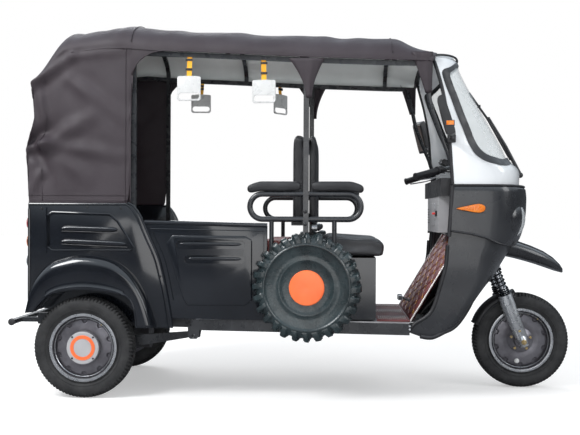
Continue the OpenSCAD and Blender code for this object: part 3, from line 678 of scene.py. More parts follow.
def shapedSide(x, z, side, inCurtain):
    half = hood["halfWidth"]
    back = hood["backX"]
    pull = smoothStep((-1090 - x) / (-1090 - back))
    moved = x + (lookUp(hood["back"], z) - back) * pull
    lift = foldLift(x, z, side) if inCurtain else 2 * noise.noise(Vector((x / 120, z / 90, side)))
    if inCurtain:  # held down along the hem, the front edge and the bows
        hold = smoothStep((z - hood["hem"]) / 60) * smoothStep((hood["curtainFront"] + 20 - x) / 60)
        lift *= 0.2 + 0.8 * hold
    return Vector((moved, side * (half + lift), z))


def makeHood():
    bm = bmesh.new()
    stations = hoodStations()
    sections = [hoodSection(x) for x in stations]
    first = sections[0]
    rows = hood["sideRows"]
    addGrid(bm, sections, 0)
    columns = hood["archColumns"]
    width = len(first)
    backRows = []
    for k in range(rows + 1):
        t = 1 - k / rows  # 1 at the arch, 0 at the hem
        line = []
        for c in range(columns + 1):
            top = first[rows + c]
            low = Vector((lookUp(hood["back"], hood["hem"]), top.y, hood["hem"]))
            z = lerp(low.z, top.z, t)
            edge = abs(top.y) / hood["halfWidth"]
            swell = 10 * math.sin(math.pi * t) * (1 - edge ** 4)
            fold = 8 * math.exp(-((z - 1206 + 40 * noise.noise(Vector((top.y / 160, 0, 1)))) / 34) ** 2)
            ripple = 7 * noise.noise(Vector((top.y / 120, z / 190, 7)))
            x = lookUp(hood["back"], min(z, 1531))
            x = x - swell - fold * (1 - edge ** 6) - ripple * (1 - edge ** 4)
            if z > 1531:
                x = lerp(-1292, top.x, smoothStep((z - 1531) / max(1, top.z - 1531)))
            line.append(Vector((x, top.y, z)))
        backRows.append(line)
    for k, line in enumerate(backRows):  # the outer columns meet the curtains
        line[0] = first[rows - k]
        line[-1] = first[width - 1 - (rows - k)]
    backRows[0] = [first[rows + c] for c in range(columns + 1)]
    addGrid(bm, backRows, 0)
    bmesh.ops.remove_doubles(bm, verts=bm.verts, dist=0.0006)
    bmesh.ops.recalc_face_normals(bm, faces=bm.faces)
    piece = makePiece("hoodSheet", bm, ["hoodCloth"], "root",
                      ["canopy_roof", "canopy_sides", "canopy_back"], sharp=180)
    smooth = piece.modifiers.new("smooth", "SUBSURF")
    smooth.levels = smooth.render_levels = 1
    cloth = piece.modifiers.new("cloth", "SOLIDIFY")
    cloth.thickness = 0.003
    cloth.offset = -1
    return piece


hoodSheet = makeHood()


def makeLining():  # the pale inner skin of the roof
    bm = bmesh.new()
    columns = 30
    rows = [[archPoint(x, math.pi * k / columns, 9) for k in range(columns + 1)]
            for x in (lerp(-1215, 640, i / 50) for i in range(51))]
    addGrid(bm, rows, 0)
    piece = makePiece("roofLining", bm, ["hoodLining"], "root", sharp=180)


makeLining()


def makeHoodSeams():  # stitched joins and the bound edges
    bm = bmesh.new()
    def surface(x, z, side):
        p = shapedSide(x, z, side, x <= hood["curtainFront"] + 1)
        return p + Vector((0, side * 1.5, 0))
    for side in (-1, 1):
        for x in (-1226, -823):
            addTube(bm, [surface(x, z, side) for z in range(948, int(eaveAt(x)), 24)], 1.8, 6)
        addTube(bm, [surface(x, 980, side) for x in range(-1292, -800, 24)], 1.6, 6)
        addTube(bm, [surface(hood["curtainFront"], z, side) for z in range(946, 1530, 24)], 3, 6)
        addTube(bm, [surface(x, 947, side) for x in range(-1292, -796, 24)], 3.4, 6)
        edge = [surface(x, lowerEdge(x) + 2, side) for x in range(-794, 650, 22)]
        addTube(bm, edge, 3, 6)
        addTube(bm, [surface(x, eaveAt(x) - 4, side) for x in range(-1090, -640, 24)], 1.8, 6)
    for x in (-798, 460):  # joins across the roof
        addTube(bm, [archPoint(x, math.pi * k / 40, -4) for k in range(2, 39)], 2, 6)
    makePiece("hoodSeams", bm, ["hoodCloth"], "root", sharp=180)


makeHoodSeams()


def makeGussets():  # tails of the roof cloth wrapped round the posts
    bm = bmesh.new()
    # x at the top, height of the top and the foot, x at the foot, side, and how fast it narrows
    tails = [dict(x=(-33, 140), z=(1640, 1450), foot=(50, 78), out=452, curve=1.8),
             dict(x=(552, 652), z=(1668, 1472), foot=(616, 648), out=447, curve=1.05)]
    for side in (-1, 1):
        for tail in tails:
            rows = []
            steps = 12
            for k in range(steps + 1):
                t = k / steps
                ease = 1 - (1 - t) ** tail["curve"]
                x0 = lerp(tail["x"][0], tail["foot"][0], ease)
                x1 = lerp(tail["x"][1], tail["foot"][1], ease)
                z = lerp(tail["z"][0], tail["z"][1], t)
                row = []
                for c in range(9):
                    u = c / 8
                    bulge = 8 * math.sin(math.pi * u) * (1 - 0.3 * t)
                    crease = 2.5 * math.sin(u * 11 + t * 2)
                    row.append(Vector((lerp(x0, x1, u), side * (tail["out"] + bulge - 6 + crease), z)))
                rows.append(row)
            addGrid(bm, rows, 0)
    piece = makePiece("hoodGussets", bm, ["hoodCloth"], "root",
                      ["canopy_gussets"], sharp=180)
    skin = piece.modifiers.new("cloth", "SOLIDIFY")
    skin.thickness = 0.003


makeGussets()
print("hood made")

# The cowls: closed shells lofted through rows of z, rear edge, start of the curve, nose, half width.

cowls = dict(
    upper=[[1036, 751, 950, 1128, 432], [1100, 747, 950, 1131, 432], [1130, 744, 930, 1118, 432],
           [1162, 743, 860, 1085, 431], [1242, 737, 745, 1047, 430], [1324, 731, 735, 999, 430],
           [1485, 703, 707, 901, 428], [1600, 672, 676, 838, 424], [1640, 660, 664, 826, 404],
           [1664, 657, 661, 820, 352], [1688, 657, 661, 814, 240], [1712, 657, 661, 802, 130],
           [1726, 657, 661, 780, 50]],
    lampBand=[[744, 728, 940, 1100, 444], [764, 730, 945, 1126, 446], [833, 736, 950, 1152, 449],
              [914, 741, 960, 1165, 450], [977, 745, 960, 1167, 448], [1015, 746, 960, 1163, 446],
              [1030, 748, 958, 1159, 444], [1036, 748, 955, 1146, 438]],
    shield=[[310, 600, 618, 690, 416], [330, 548, 700, 770, 418], [362, 560, 745, 800, 420],
            [390, 610, 775, 830, 422], [432, 655, 800, 865, 424], [542, 692, 860, 950, 426],
            [593, 706, 880, 1000, 428], [654, 721, 890, 1040, 430], [700, 725, 900, 1070, 431],
            [748, 728, 920, 1100, 432], [826, 736, 930, 1134, 432]],
    step=[[600, 817], [741, 817], [838, 803], [910, 784], [967, 757], [1010, 748], [1300, 748]],
    screen=[[699, 1580], [709, 1525], [743, 1438], [773, 1359], [802, 1291], [822, 1242],
            [851, 1188], [890, 1156], [938, 1139], [1010, 1130], [1093, 1160], [1300, 1200],
            [1300, 1740], [850, 1700], [803, 1662], [743, 1606]],
    glass=[[737, 1568], [746, 1530], [778, 1448], [808, 1370], [836, 1304], [855, 1256],
           [880, 1213], [908, 1188], [945, 1174], [1010, 1166], [1085, 1192], [1300, 1230],
           [1300, 1700], [860, 1662], [800, 1628], [760, 1592]])


def cowlRow(table, z):  # a smooth row at height z
    rows = table
    i = max(k for k in range(len(rows) - 1) if rows[k][0] <= z + 1e-6)
    a, b = rows[i], rows[i + 1]
    before = rows[max(i - 1, 0)]
    after = rows[min(i + 2, len(rows) - 1)]
    t = (z - a[0]) / (b[0] - a[0])
    out = [z]
    for c in range(1, 5):
        m0 = (b[c] - before[c]) / max(b[0] - before[0], 1) * (b[0] - a[0])
        m1 = (after[c] - a[c]) / max(after[0] - a[0], 1) * (b[0] - a[0])
        step = b[c] - a[c]
        if step * m0 < 0 or step * m1 < 0 or step == 0:
            m0 = m1 = 0
        out.append((2 * t ** 3 - 3 * t * t + 1) * a[c] + (t ** 3 - 2 * t * t + t) * m0
                   + (3 * t * t - 2 * t ** 3) * b[c] + (t ** 3 - t * t) * m1)
    return out


def cowlLine(row, grow, steps=30):  # plan line of a row from the right edge to the left one
    z, rear, start, nose, half = row
    line = [Vector((lerp(rear, start, k / 8), -half - grow, z)) for k in range(8)]
    for k in range(steps + 1):
        a = -math.pi / 2 + math.pi * k / steps
        reach = nose + grow - start
        line.append(Vector((start + reach * math.cos(a), (half + grow) * math.sin(a), z)))
    line += [Vector((lerp(start, rear, (k + 1) / 8), half + grow, z)) for k in range(8)]
    return line


def cowlShell(table, wall, grow=0, rowStep=16):
    low, high = table[0][0], table[-1][0]
    count = max(6, round((high - low) / rowStep))
    heights = [lerp(low, high, k / count) for k in range(count + 1)]
    bm = bmesh.new()
    rings = []
    for z in heights:
        row = cowlRow(table, z)
        outer = cowlLine(row, grow)
        inner = cowlLine(row, grow - wall)
        rings.append(outer + inner[::-1])
    n = len(rings[0])
    verts, made = addGrid(bm, rings, 0, wrapAcross=True)
    for base in (0, (len(rings) - 1) * n):  # the rims between the outer and the inner skin
        for k in range(n // 2 - 1):
            corners = (base + k, base + k + 1, base + n - 2 - k, base + n - 1 - k)
            bm.faces.new([verts[i] for i in corners])
    bmesh.ops.recalc_face_normals(bm, faces=bm.faces)
    return bm


def prismForm(outline, y0=-520, y1=520, steps=0):
    bm = bmesh.new()
    flat = [Vector((p[0], 0, p[1])) for p in outline]
    if steps:
        flat = curveThrough(flat, steps, closed=True)
    addPrism(bm, [(p.x, p.z) for p in flat], y0, y1, 0)
    return bm


def makeUpperCowl():
    bm = shapedBy(cowlShell(cowls["upper"], 12), prismForm(cowls["screen"], steps=5), "DIFFERENCE")
    top = cowlLine(cowls["upper"][-1], 0)
    peak = [bm.verts.new(metres((p.x, p.y, p.z))) for p in top]
    middle = bm.verts.new(metres((712, 0, 1730)))
    for a, b in zip(peak, peak[1:]):
        bm.faces.new((a, b, middle))
    makePiece("upperCowl", bm, ["whiteShell"], "root", ["upper_cowl"], sharp=32)


def makeScreen():
    seal = shapedBy(cowlShell(cowls["upper"], 16, 3), prismForm(cowls["screen"], steps=5), "INTERSECT")
    seal = shapedBy(seal, prismForm(cowls["glass"], steps=5), "DIFFERENCE")
    makePiece("screenSeal", seal, ["sealRubber"], "root", ["windscreen_seal"], sharp=32)
    pane = shapedBy(cowlShell(cowls["upper"], 5, -3), prismForm(cowls["glass"], steps=5), "INTERSECT")
    makePiece("screenPane", pane, ["screenGlass"], "root", ["windscreen"], sharp=32)


def makeLowerCowl():
    step = cowls["step"]
    below = [*step, (1300, 600), (600, 600)]
    above = [(x, z + 8) for x, z in step] + [(1300, 1100), (600, 1100)]
    band = shapedBy(cowlShell(cowls["lampBand"], 18), prismForm(below), "DIFFERENCE")
    shield = shapedBy(cowlShell(cowls["shield"], 12), prismForm(above), "DIFFERENCE")
    cut = bmesh.new()
    addBox(cut, (850, -150, 480), (1240, 150, 690), 0)
    shield = shapedBy(shield, cut, "DIFFERENCE")
    joinForms(band, shield)
    makePiece("lowerCowl", band, ["charcoalPaint"], "root", ["lower_cowl"], sharp=32)


makeUpperCowl()
makeScreen()
makeLowerCowl()


def makeCowlTrimAndShadowLine():  # the dark joint line, the edging round the shell, the lower strip and a painted shadow line under the lamp band
    bm = bmesh.new()
    for row, grow, radius in ((cowlRow(cowls["lampBand"], 1034), 4, 5), (cowls["upper"][0], 3, 4)):
        addTube(bm, cowlLine(row, grow), radius, 8)
    heights = [1040 + 24 * k for k in range(29)]
    for side in (-1, 1):
        edge = [Vector((cowlRow(cowls["upper"], z)[1] - 2, side * (cowlRow(cowls["upper"], z)[4] - 4), z))
                for z in heights if z <= 1726]
        addTube(bm, edge, 9, 8)
        heightsLow = [330 + 22 * k for k in range(20)]
        low = [Vector((cowlRow(cowls["shield"], z)[1] - 1, side * (cowlRow(cowls["shield"], z)[4] - 5), z))
               for z in heightsLow]
        up = [Vector((lookUp([[744, 728], [833, 736], [914, 741], [1036, 748]], z) - 1, side * 442, z))
              for z in range(790, 1036, 22)]
        addTube(bm, low, 10, 8)
        addTube(bm, up, 10, 8)
        strip = [(600, 312), (655, 306), (712, 330), (768, 360), (822, 430), (880, 540), (930, 616)]
        path = curveThrough([(x, side * lerp(424, 372, k / 6), z) for k, (x, z) in enumerate(strip)], 5)
        addTube(bm, path, 11, 8)
        paintedShadowLine = []
        for x in range(742, 1086, 14):  # a painted shadow: a dark rubber line under the lamp band's overhang
            z = max(lookUp(cowls["step"], x), 746)
            z, rear, start, nose, half = cowlRow(cowls["lampBand"], z)
            share = max(0, (x - start) / (nose - start))
            paintedShadowLine.append((x, side * (half + 1) * math.sqrt(1 - share * share), z))
        addTube(bm, paintedShadowLine, 5, 8)
    lip = [Vector((661 + 158 * math.sin(a), -352 * math.cos(a), 1668 + 14 * math.sin(a)))
           for a in (math.pi * k / 36 for k in range(37))]
    addTube(bm, lip, 5.5, 8)
    makePiece("cowlTrimAndShadowLine", bm, ["sealRubber"], "root", sharp=60)


makeCowlTrimAndShadowLine()

lampShape = dict(centre=(1036, 335, 868), hood=(62, 90, 98), lens=(50, 64, 84), lean=20, tip=8)


def makeHeadlamps():
    bm = bmesh.new()
    x, y, z = lampShape["centre"]
    for side in (-1, 1):
        turn = Matrix.Rotation(math.radians(side * lampShape["lean"]), 4, "Z")
        turn = turn @ Matrix.Rotation(math.radians(lampShape["tip"]), 4, "Y")
        addKnob(bm, (x, side * y, z), lampShape["hood"], turn, 0, 32)
        addKnob(bm, (x + 26, side * (y - 14), z - 2), lampShape["lens"], turn, 1, 32)
        ring = [Vector((0, 64 * math.cos(a), 84 * math.sin(a)))
                for a in (2 * math.pi * k / 40 for k in range(40))]
        place = Matrix.Translation((x + 32, side * (y - 10), z - 1)) @ turn
        addTube(bm, [place @ p for p in ring], 4, 8, 2, closed=True)
    makePiece("headlampPair", bm, ["charcoalPaint", "clearLens", "chromeMetal"], "root",
              ["headlamps"])


def makeIndicators():
    bm = bmesh.new()
    outline = curveThrough([(764, 0, 922), (800, 0, 932), (865, 0, 945), (892, 0, 938), (899, 0, 925),
                            (890, 0, 910), (865, 0, 904), (800, 0, 914)], 4, closed=True)
    addPrism(bm, [(p.x, p.z) for p in outline], -461, -447, 4, 0, 3)
    addTube(bm, [(p.x, -450, p.z) for p in outline], 3, 6, 1, closed=True)
    for k in range(7):
        addTube(bm, [(800 + 13 * k, -461.5, 916), (803 + 13 * k, -461.5, 934)], 1.6, 6, 0)
    mirrorAcross(bm)
    makePiece("sideIndicators", bm, ["amberLens", "blackPlastic"], "root", ["indicators"])


def makeBeak():
    bm = bmesh.new()
    # x, top, underside, half width
    table = [[1052, 778, 684, 172], [1126, 758, 668, 169], [1186, 737, 652, 160], [1247, 711, 634, 147],
             [1300, 678, 616, 125], [1340, 642, 602, 98], [1360, 618, 597, 66]]
    rows = []
    for x, top, low, half in table:
        row = []
        for k in range(24):
            a = 2 * math.pi * k / 24
            c, s = math.cos(a), math.sin(a)
            y = half * math.copysign(abs(c) ** 0.55, c)
            z = (top + low) / 2 + (top - low) / 2 * math.copysign(abs(s) ** 0.6, s)
            row.append(Vector((x, y, z)))
        rows.append(row)
    verts, made = addGrid(bm, rows, 0, wrapAcross=True)
    bm.faces.new(verts[-24:])
    bm.faces.new(verts[:24][::-1])
    for side in (-1, 1):  # the rib along each edge
        addTube(bm, [(x, side * (half * 0.72), top - 3) for x, top, low, half in table], 5, 8, 0)
    bmesh.ops.recalc_face_normals(bm, faces=bm.faces)
    makePiece("nosePeak", bm, ["charcoalPaint"], "root", ["front_beak"], sharp=50)


makeHeadlamps()
makeIndicators()
makeBeak()


def makeWiper():
    bm = bmesh.new()
    addKnob(bm, (1142, -60, 1100), (16, 15, 15), None, 0, 16)
    addTube(bm, [(1144, -60, 1100), (1066, -60, 1252), (982, -60, 1394)], [13, 11, 8], 8, 0, 0.8)
    addTube(bm, [(878, -66, 1526), (974, -62, 1392), (1094, -60, 1178)], 7, 8, 0, 0.8)
    addTube(bm, [(884, -66, 1510), (972, -62, 1386), (1080, -60, 1192)], 3, 6, 1, 0.5)
    for p in ((930, -64, 1455), (978, -62, 1392), (1030, -61, 1300)):
        addBox(bm, (p[0] - 8, p[1] - 7, p[2] - 8), (p[0] + 8, p[1] + 7, p[2] + 8), 2, 0)
    makePiece("screenWiper", bm, ["blackPlastic", "sealRubber"], "root", ["wiper"])


def makeMirrors():
    bm = bmesh.new()
    for side, turned in ((-1, -8), (1, 25)):
        one = bmesh.new()
        housing = curveThrough([(663, 0, 1428), (678, 0, 1440), (694, 0, 1430), (741, 0, 1288),
                                (738, 0, 1266), (716, 0, 1260), (703, 0, 1272), (666, 0, 1400)],
                               4, closed=True)
        outline = [(p.x, p.z) for p in housing]
        addPrism(one, outline, -606, -512, 11, 0, 3)
        shrunk = [(lerp(x, 702, 0.16) - 7, lerp(z, 1350, 0.10)) for x, z in outline]
        addPrism(one, shrunk, -598, -520, 4, 1, 2)
        addBox(one, (700, -607.5, 1300), (740, -575, 1325), 3, 2)
        pivot = Matrix.Translation(metres((702, -559, 0)))
        turn = pivot @ Matrix.Rotation(math.radians(-side * turned), 4, "Z") @ pivot.inverted()
        bmesh.ops.transform(one, matrix=turn, verts=one.verts)
        addTube(one, [(742, -440, 1256), (738, -470, 1262), (722, -522, 1290)], [10, 7, 8], 10, 0)
        addKnob(one, (742, -436, 1256), (17, 12, 17), None, 0, 16)
        addBox(one, (722, -444, 1236), (762, -430, 1276), 4, 0)
        if side > 0:
            bmesh.ops.transform(one, matrix=Matrix.Diagonal((1, -1, 1, 1)), verts=one.verts)
            bmesh.ops.reverse_faces(one, faces=one.faces)
        joinForms(bm, one)
    makePiece("wingMirrors", bm, ["blackPlastic", "mirrorGlass", "amberLens"], "root",
              ["mirrors"])


makeWiper()
makeMirrors()
print("nose made")

# The rear body, its louvres and wheel arches, and the fixed side panel.

body = dict(half=450, rear=-1302, belt=944, archOut=505,
            border=[[-809, 944], [-785, 932], [-762, 905], [-745, 875], [-735, 852], [-701, 775],
                    [-652, 659], [-612, 476], [-592, 342]],
            arch=[[-668, 342], [-760, 346], [-770, 432], [-809, 494], [-931, 521], [-1052, 525],
                  [-1174, 500], [-1257, 417]],
            rim=[[-669, 347], [-713, 480], [-786, 599], [-883, 670], [-1019, 693], [-1110, 680],
                 [-1199, 644], [-1272, 547], [-1306, 412]],
            louvreFrame=[[-1203, 884], [-1183, 899], [-897, 890], [-858, 856], [-779, 731],
                         [-798, 716], [-1182, 714], [-1202, 730]],
            louvres=[[-1133, 821, -857, 814], [-1133, 758, -812, 745]])


def addPill(bm, x0, z0, x1, z1, half, y, rise, finish=0):  # a rounded bar that stands off a panel
    rows = []
    for k in range(25):
        t = k / 24
        wide = half * min(1, math.sqrt(max(0, 1 - (2 * t - 1) ** 8)) + 0.02)
        x, z = lerp(x0, x1, t), lerp(z0, z1, t)
        rows.append([Vector((x, y - rise * math.sin(a), z + wide * math.cos(a)))
                     for a in (math.pi * j / 10 for j in range(11))])
    addGrid(bm, rows, finish)


def makeBodySides():
    bm = bmesh.new()
    half = body["half"]
    outline = [[body["rear"], 412], [body["rear"], body["belt"]], *body["border"], *body["arch"]]
    addPrism(bm, outline, -half, -half + 12, 3)
    frameLine = curveThrough([(x, -half - 1, z) for x, z in body["louvreFrame"]], 1, closed=True)
    addTube(bm, frameLine, 4, 8, 0, closed=True)
    inner = [Vector((lerp(p.x, -1005, 0.035), p.y - 0.5, lerp(p.z, 805, 0.075))) for p in frameLine]
    addTube(bm, inner, 2.4, 6, 0, closed=True)
    for x0, z0, x1, z1 in body["louvres"]:
        addPill(bm, x0, z0, x1, z1, 13, -half, 11)
        shadow = [(lerp(x0, x1, k / 8), -half - 5, lerp(z0, z1, k / 8) - 15) for k in range(9)]
        addTube(bm, shadow, 2.2, 6, 1)
    ridge = curveThrough([(x, -half - 1, z) for x, z in body["border"]], 4)
    addTube(bm, ridge, 6, 8)
    addTube(bm, [p + Vector((-21, 0, -3)) for p in ridge], 4.5, 8)
    addTube(bm, [(x, -half - 1, body["belt"] - 6) for x in range(-1296, -806, 30)], 6, 8)
    addTube(bm, [(-1210, -half - 1, z) for z in range(700, 938, 17)], 3, 6)
    addTube(bm, [(-1296, -half + 2, z) for z in range(420, 940, 26)], 7, 8)
    for x, z in ((-1235, 915), (-1010, 924), (-845, 918), (-690, 700), (-650, 590)):
        addBolt(bm, (x, -half, z), (0, -1, 0), 6, 3, 1)
    mirrorAcross(bm)
    makePiece("bodySides", bm, ["blackPaint", "sealRubber"], "root", ["body_sides"], sharp=40)


def makeArches():
    bm = bmesh.new()
    outer = spread(curveThrough([(x, 0, z) for x, z in body["rim"]], 8), 64)
    opening = spread(curveThrough([(x, 0, z) for x, z in body["arch"][1:]], 8), 64)
    rows = []
    for p, q in zip(outer, opening):
        way = q - p
        row = [Vector((p.x, -447, p.z))]
        for k in range(9):  # the rounded shoulder
            a = math.pi / 2 * k / 8
            row.append(p + way * 0.30 * (1 - math.cos(a)) + Vector((0, -450 - 55 * math.sin(a), 0)))
        for t in (0.45, 0.6, 0.75, 0.88):
            row.append(p + way * t + Vector((0, -505 - 1.5 * math.sin(math.pi * t), 0)))
        row.append(p + way * 0.90 + Vector((0, -508, 0)))  # the lip
        row.append(p + way * 0.97 + Vector((0, -508, 0)))
        row.append(q + Vector((0, -504, 0)))
        row.append(q + Vector((0, -490, 0)))
        row.append(q + Vector((0, -452, 0)))
        rows.append(row)
    addGrid(bm, rows, 0)
    bmesh.ops.recalc_face_normals(bm, faces=bm.faces)
    mirrorAcross(bm)
    piece = makePiece("wheelArches", bm, ["blackPaint"], "root",
                      ["rear_fenders"], sharp=50)
    skin = piece.modifiers.new("skin", "SOLIDIFY")
    skin.thickness = 0.003


def pillForm(x0, x1, z0, z1, y0, y1):
    bm = bmesh.new()
    r = (z1 - z0) / 2
    turns = [math.pi * k / 12 for k in range(13)]
    outline = [(x0 + r - r * math.sin(a), z0 + r - r * math.cos(a)) for a in turns]
    outline += [(x1 - r + r * math.sin(a), z0 + r + r * math.cos(a)) for a in turns]
    addPrism(bm, outline, y0, y1, 0)
    return bm


def makeSidePanel():
    bm = bmesh.new()
    outline = [[-734, 851], [-700, 775], [-651, 659], [-611, 476], [-598, 388.5], [-133, 382.5],
               [-133, 837]]
    addPrism(bm, outline, -450, -436, 3)
    plateau = bmesh.new()
    raised = [(-623, 746), (-594, 790), (-240, 787), (-206, 768), (-205, 480), (-239, 454), (-519, 452),
              (-539, 487)]
    addPrism(plateau, raised, -456, -440, 5, 0, 3)
    slots = ((-574, 724, 764), (-532, 654, 693))
    for x0, z0, z1 in slots:
        plateau = shapedBy(plateau, pillForm(x0, -240, z0, z1, -470, -449), "DIFFERENCE")
    joinForms(bm, plateau)
    for x0, z0, z1 in slots:
        addPill(bm, x0 + 16, (z0 + z1) / 2 + 3, -256, (z0 + z1) / 2 + 3, 9, -449, 4)
    addTube(bm, [(lerp(-728, -134, k / 20), -446, lerp(852, 838, k / 20)) for k in range(21)], 11, 12)
    addTube(bm, [(lerp(-700, -150, k / 20), -451, lerp(820, 812, k / 20)) for k in range(21)], 2.4, 6)
    line = curveThrough([(x + 26, -451, z) for x, z in body["border"][4:8]], 4)
    addTube(bm, line, 2.4, 6)
    addTube(bm, [(-150, -451, z) for z in range(400, 812, 20)], 2.4, 6)
    makePiece("sidePanel", bm, ["blackPaint"], "root", ["side_panel_right"], sharp=36)


makeBodySides()
makeArches()
makeSidePanel()


def makeSpareCovers():
    bm = bmesh.new()
    middle = (60, -470, 548)
    lugs = 28
    steps = lugs * 12
    # offset outward, radius, share of the lug wave
    profile = [(0, 165, 0), (0, 236, 0), (6, 250, 0.3), (16, 256, 0.9), (34, 258, 1), (54, 258, 1),
               (68, 256, 1), (76, 250, 1), (82, 240, 0.9), (84, 228, 0.6), (85, 216, 0.2), (84, 208, 0),
               (87, 204, 0), (87, 200, 0), (84, 197, 0), (81, 190, 0), (80, 172, 0), (77, 160, 0),
               (75, 140, 0), (77, 134, 0), (77, 128, 0), (74, 122, 0), (71, 108, 0), (70, 90, 0)]
    rows = []
    for j in range(steps):
        a = 2 * math.pi * j / steps
        rough = noise.noise(Vector((math.cos(a) * 6, math.sin(a) * 6, 1)))
        row = []
        for place, (offset, radius, share) in enumerate(profile):
            wave = math.sin(lugs * a + 0.30 * place + 1.1 * rough)
            lug = max(0, min(1, 0.68 + 2.1 * wave))
            r = radius - (20 + 8 * rough) * (1 - lug) * share + 5 * rough * share
            out = offset - 7 * (1 - lug) * share * (1 if offset > 60 else 0)
            row.append(Vector((middle[0] + r * math.cos(a), middle[1] - out,
                               middle[2] + r * math.sin(a))))
        rows.append(row)
    addGrid(bm, rows, 0, wrapAlong=True)
    addLathe(bm, [(58, 0), (66, 30), (69, 60), (70, 92)], middle, (0, -1, 0), 64, 0, closed=False)
    disc = [(68, 0.1), (79, 0.1), (80, 12), (80, 74), (78, 80), (74, 83), (68, 83)]
    addLathe(bm, disc, middle, (0, -1, 0), 72, 1, closed=False)
    addBox(bm, (0, -471, 478), (110, -449, 618), 3, 0)
    mirrorAcross(bm)
    bmesh.ops.recalc_face_normals(bm, faces=bm.faces)
    makePiece("spareCovers", bm, ["coverPlastic", "coverDisc"], "root",
              ["spare_covers"], sharp=34)


makeSpareCovers()
print("body made")

# Wheels: tyres with cut tread, and rim rings, holes, valves and hub caps.

wheels = dict(radius=245, width=100, rim=160, front=(1155, 0, 245), rear=(-1021, 430, 245),
              blocks=84, depth=8,
              # radius and how far the pressed disc stands out there
              disc=[[62, 17], [80, 20], [92, 21], [104, 20], [132, 16], [140, 8], [150, 3]])


def makeTyre(name, centre, body, node):
    bm = bmesh.new()
    half = wheels["width"] / 2
    r = wheels["radius"]
    # offset across, radius, share of the tread depth
    section = [(-34, 160, 0), (-38, 168, 0), (-43, 178, 0), (-48, 192, 0), (-50, 205, 0),
               (-49.4, 214, 0), (-47.5, 222, 0), (-45, 229, 0.25), (-42, 235, 1), (-38, 239.5, 1),
               (-32, 242.5, 1)]
    crown = [(-26, 244, 1), (-21, 244.6, 1), (-18, 244.8, 1), (-15, 244.9, -1), (-12, 245, 1),
             (-7, 245, 1), (-3, 245, 1), (-1.6, 245, -1), (1.6, 245, -1)]
    profile = section + crown
    profile += [(-y, rr, s) for y, rr, s in reversed(profile[:-2])]
    blocks = wheels["blocks"]
    per = 6
    rows = []
    for j in range(blocks * per):
        a = 2 * math.pi * j / (blocks * per)
        row = []
        for y, rr, share in profile:
            cut = 0
            if share < 0:
                cut = wheels["depth"] * 0.8
            elif share > 0:
                skew = y / 9 if abs(y) > 15 else -y / 5
                phase = (j / per + skew / per) % 1
                gap = 0.42 if abs(y) > 18 else 0.3
                cut = wheels["depth"] * share if phase < gap else 0
            rad = rr - cut
            row.append(Vector((centre[0] + rad * math.cos(a), centre[1] + y,
                               centre[2] + rad * math.sin(a))))
        rows.append(row)
    addGrid(bm, rows, 0, wrapAlong=True)
    for side in (-1, 1):
        for rad, thick in ((186, 1.6), (200, 1.2), (170, 1.8)):
            y = side * (half - 2.6 if rad > 190 else half - 7 if rad < 175 else half - 3.6)
            ring = [(centre[0] + rad * math.cos(a), centre[1] + y, centre[2] + rad * math.sin(a))
                    for a in (2 * math.pi * k / 72 for k in range(72))]
            addTube(bm, ring, thick, 5, 0, closed=True)
    bmesh.ops.recalc_face_normals(bm, faces=bm.faces)
    makePiece(name, bm, ["tyreRubber"], body, [node], sharp=30)


def makeRimTrim(name, centre, body, out, front):  # out is -1 or 1: the side that faces outward
    bm = bmesh.new()
    sides = (-1, 1) if front else (out,)
    for s in sides:
        axis = (0, s, 0)
        dish = 0 if front else 4
        lip = [(38, 150), (45, 152), (46, 158), (45, 164.6), (38, 164)]
        addLathe(bm, lip, centre, axis, 72, 1)
        rows = []
        for m in range(241):  # the pressed disc with a row of D-shaped recesses
            a = 2 * math.pi * m / 240
            row = []
            for k in range(27):
                rr = lerp(62, 150, k / 26)
                rise = lookUp(wheels["disc"], rr)
                near = (a * 10 / (2 * math.pi)) % 1 - 0.5
                across = near * 2 * math.pi * rr / 10
                deep = 136 - rr
                inside = 15 - math.hypot(across, deep * 0.75) if deep > 0 else -1
                rise -= 9 * smoothStep(inside / 3)
                row.append(Vector((centre[0] + rr * math.cos(a), centre[1] + s * (dish + rise),
                                   centre[2] + rr * math.sin(a))))
            rows.append(row)
        addGrid(bm, rows, 0)
        addLathe(bm, [(30, 141), (33, 139), (35, 141), (33, 144)], centre, axis, 72, 1)
        valve = Vector((math.cos(0.9), 0, math.sin(0.9)))
        base = Vector(centre) + valve * 147 + Vector((0, s * 4, 0))
        addTube(bm, [base, base + Vector((0, s * 26, 0)) - valve * 8], 3.4, 8, 2)
        addKnob(bm, base + Vector((0, s * 28, 0)) - valve * 8, (4.2, 5, 4.2), None, 3, 10)
        if front:
            hub = [(16, 66), (26, 64), (30, 58), (40, 40), (56, 34), (60, 24), (63, 0)]
            addLathe(bm, hub, centre, axis, 48, 0, closed=False)
            dot = Vector(centre) + Vector((-17, s * 20, -110))  # a pale plug low on the disc
            addKnob(bm, dot, (13, 5, 13), None, 6, 16)
            for k in range(5):
                a = 2 * math.pi * k / 5 + 0.3
                addBolt(bm, (centre[0] + 51 * math.cos(a), centre[1] + s * 31, centre[2] + 51 * math.sin(a)),
                        axis, 8, 9, 3)
        else:
            cap = [(33, 82), (46, 82), (49, 78), (50, 66), (49.6, 58), (50, 50), (51, 30), (51.5, 0)]
            addLathe(bm, cap, centre, axis, 64, 4, closed=False)
            ring = [(49.6, 44), (52, 44), (52, 60), (49.6, 60)]
            addLathe(bm, ring, centre, axis, 64, 5)
            for k in range(4):
                a = math.pi / 4 + math.pi / 2 * k
                addBolt(bm, (centre[0] + 72 * math.cos(a), centre[1] + s * 49, centre[2] + 72 * math.sin(a)),
                        axis, 5, 3, 2)
    makePiece(name, bm, ["rimPaint", "silverMetal", "sealRubber", "brassMetal", "greyPlastic", "coverDisc",
                         "milkyPlastic"], body, sharp=40)


